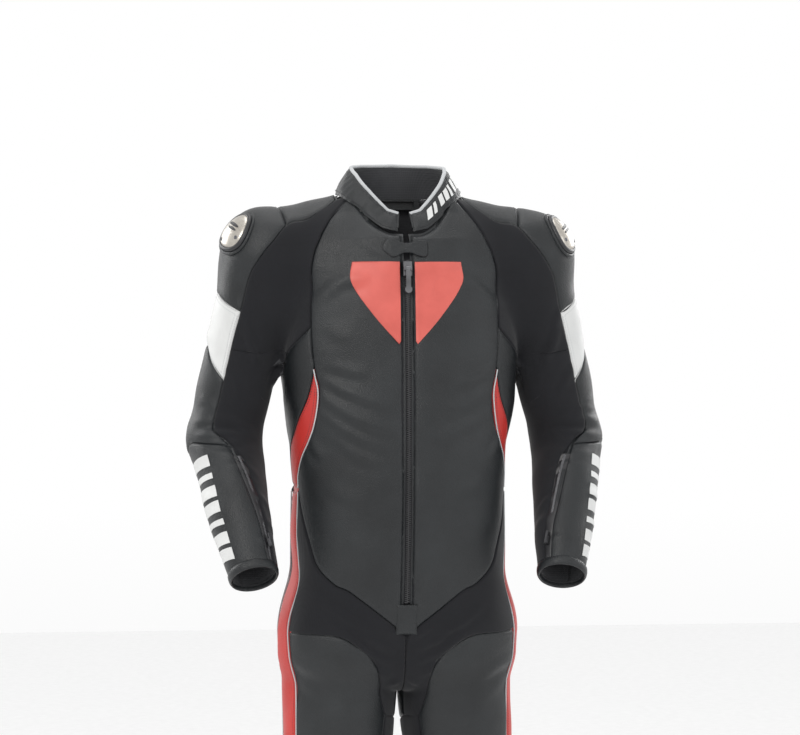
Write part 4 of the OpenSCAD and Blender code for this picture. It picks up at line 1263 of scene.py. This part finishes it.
    cloths["zip_plastic"] = (1.2, 0.4, 0.0, None)
    cuffLines = [[arm(frontAngle(s) - 8 + k, s) for s in (316, 350, 390, 430, wristS - 2)] for k in (9.5, 0, -9.5)]
    calfLines = [[leg(180 + k, mix(body["thigh"] + 88, ankleS - 1, t)) for t in np.linspace(0, 1, 6)]
                 for k in (8, 0, -8)]
    for name, node, lines, follow in (("cuff_zip_tape_", "cuff_zip_", cuffLines, "forearm"),
                                      ("calf_zip_tape_", "calf_zip_", calfLines, "shin")):
        m = Making()
        layPanel(m, lines, "zip_plastic", side, off=-1.3, cell=2.6)
        path = settle(spline(np.array(lines[1]) * [side, 1, 1], np.linspace(0.01, 0.99, 120)))
        n = outward(path)
        plain = dict(sewing)
        for shift in (-0.75, 0.75):
            way = unit(np.gradient(path, axis=0))
            sewing.update({"pitch": 2.2, "long": 1.7, "wide": 1.25, "tall": 0.75, "ends": 1.0})
            row = path + np.cross(n, way) * shift - 1.0 * n + way * (0.55 if shift > 0 else -0.55)
            v, qf, rt = stitchRow(row, n, path)
            m.add(v, qf, "slider_metal", rt)
        sewing.update(plain)
        place(m, name + end, follow, side, [node + end])

    # legs
    thighS = body["thigh"]
    lines = [[spline(thighTop, k / 6)] + [leg(x, mix(112, thighS - 64, t / 4)) for t in (1, 2, 3, 4)]
             for k, x in ((4, -48), (3.6, -43), (3.2, -36), (3, -30), (2.5, -14), (2, 4),
                          (1, 40))] + [piece(stripeFront, 3, 6)]
    sewPanel("thigh_skin_" + end, "hip", side, "black_leather", ["thigh_panel_" + end], lines)

    m = Making()
    layPanel(m, [stripeFront, stripeRear], "red_leather", side)
    for line in (stripeFront, stripeRear):
        edge = settle(spline(line * [side, 1, 1], np.linspace(0.004, 0.996, 220)))
        sweep(m, edge + 0.3 * outward(edge), 1.0, "binding", 6, edge)
    place(m, "red_stripe_" + end, "hip", side, ["side_stripe_" + end])

    rear = [(stripeRear[4], 98, 96, -24), (underSeat[1], 106, 106, -20), (underSeat[2], 120, 120, 0),
            (underSeat[3], 142, 142, 36),
            (underSeat[4], 186, 186, 84), (underSeat[5], 246, 246, 58), (underSeat[6], 282, 282, 12),
            (leg(-64, 114.5), 296, 298, -14),
            (leg(-50, 112), 311, 312, -33)]
    cut = 290
    sewPanel("thigh_cloth_" + end, "hip", side, "stretch_fabric", ["leg_stretch_" + end],
             [[start, leg(x, 200), leg(mix(x, y, 0.6), cut)] for start, x, y, _ in rear], plain=("bottom",))

    def kneeRibs(p, d):
        # ribs down the knee, gone at its seams: 1.5 cos(turn * down / pitch) (1 - exp(-(d / 3)^2))
        down = (p - knee * [side, 1, 1]) @ (thighWay * [side, 1, 1]) + 49
        return 1.5 * np.cos(6.2832 * down / 9.4) * (1 - np.exp(-(d / 3) ** 2))

    m = Making()
    behind = [[leg(mix(x, y, 0.6), cut), leg(mix(x, y, 0.8), mix(cut, thighS + low, 0.5)), leg(y, thighS + low)]
              for _, x, y, low in rear]
    layPanel(m, behind, "stretch_fabric", side, plain=("top",))
    overKnee = [[leg(x, thighS - 63), kneeLine[i]] for i, x in enumerate((-48, 0, 48, 96))]
    layPanel(m, overKnee, "stretch_fabric", side, cell=2.4, ribs=kneeRibs)
    place(m, "knee_cloth_" + end, "knee", side, ["leg_stretch_" + end])

    sewPanel("shin_skin_" + end, "knee", side, "black_leather", ["shin_panel_" + end],
             [[leg(x, mix(thighS + low, ankleS, i / 5)) for i in range(6)] for x, low in shinTop])
    print("plate, cuff and leg made:", end)

# parts that keep their engineered shape
keep = {"storm_flap": "tape", "hang_loop": "black_leather", "zip_slider": "slider_metal", "zip_pull": "slider_metal"}
for end in ("left", "right"):
    keep.update({"cuff_slider_" + end: "slider_metal", "calf_slider_" + end: "slider_metal",
                 "shoulder_armour_" + end: "armour_foam",
                 "elbow_armour_" + end: "armour_foam", "knee_armour_" + end: "armour_foam"})
for node, name in keep.items():
    data = frame["nodes"][node].data
    data.materials.clear()
    data.materials.append(paint[name])

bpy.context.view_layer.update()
print("triangles, about:", triangles)
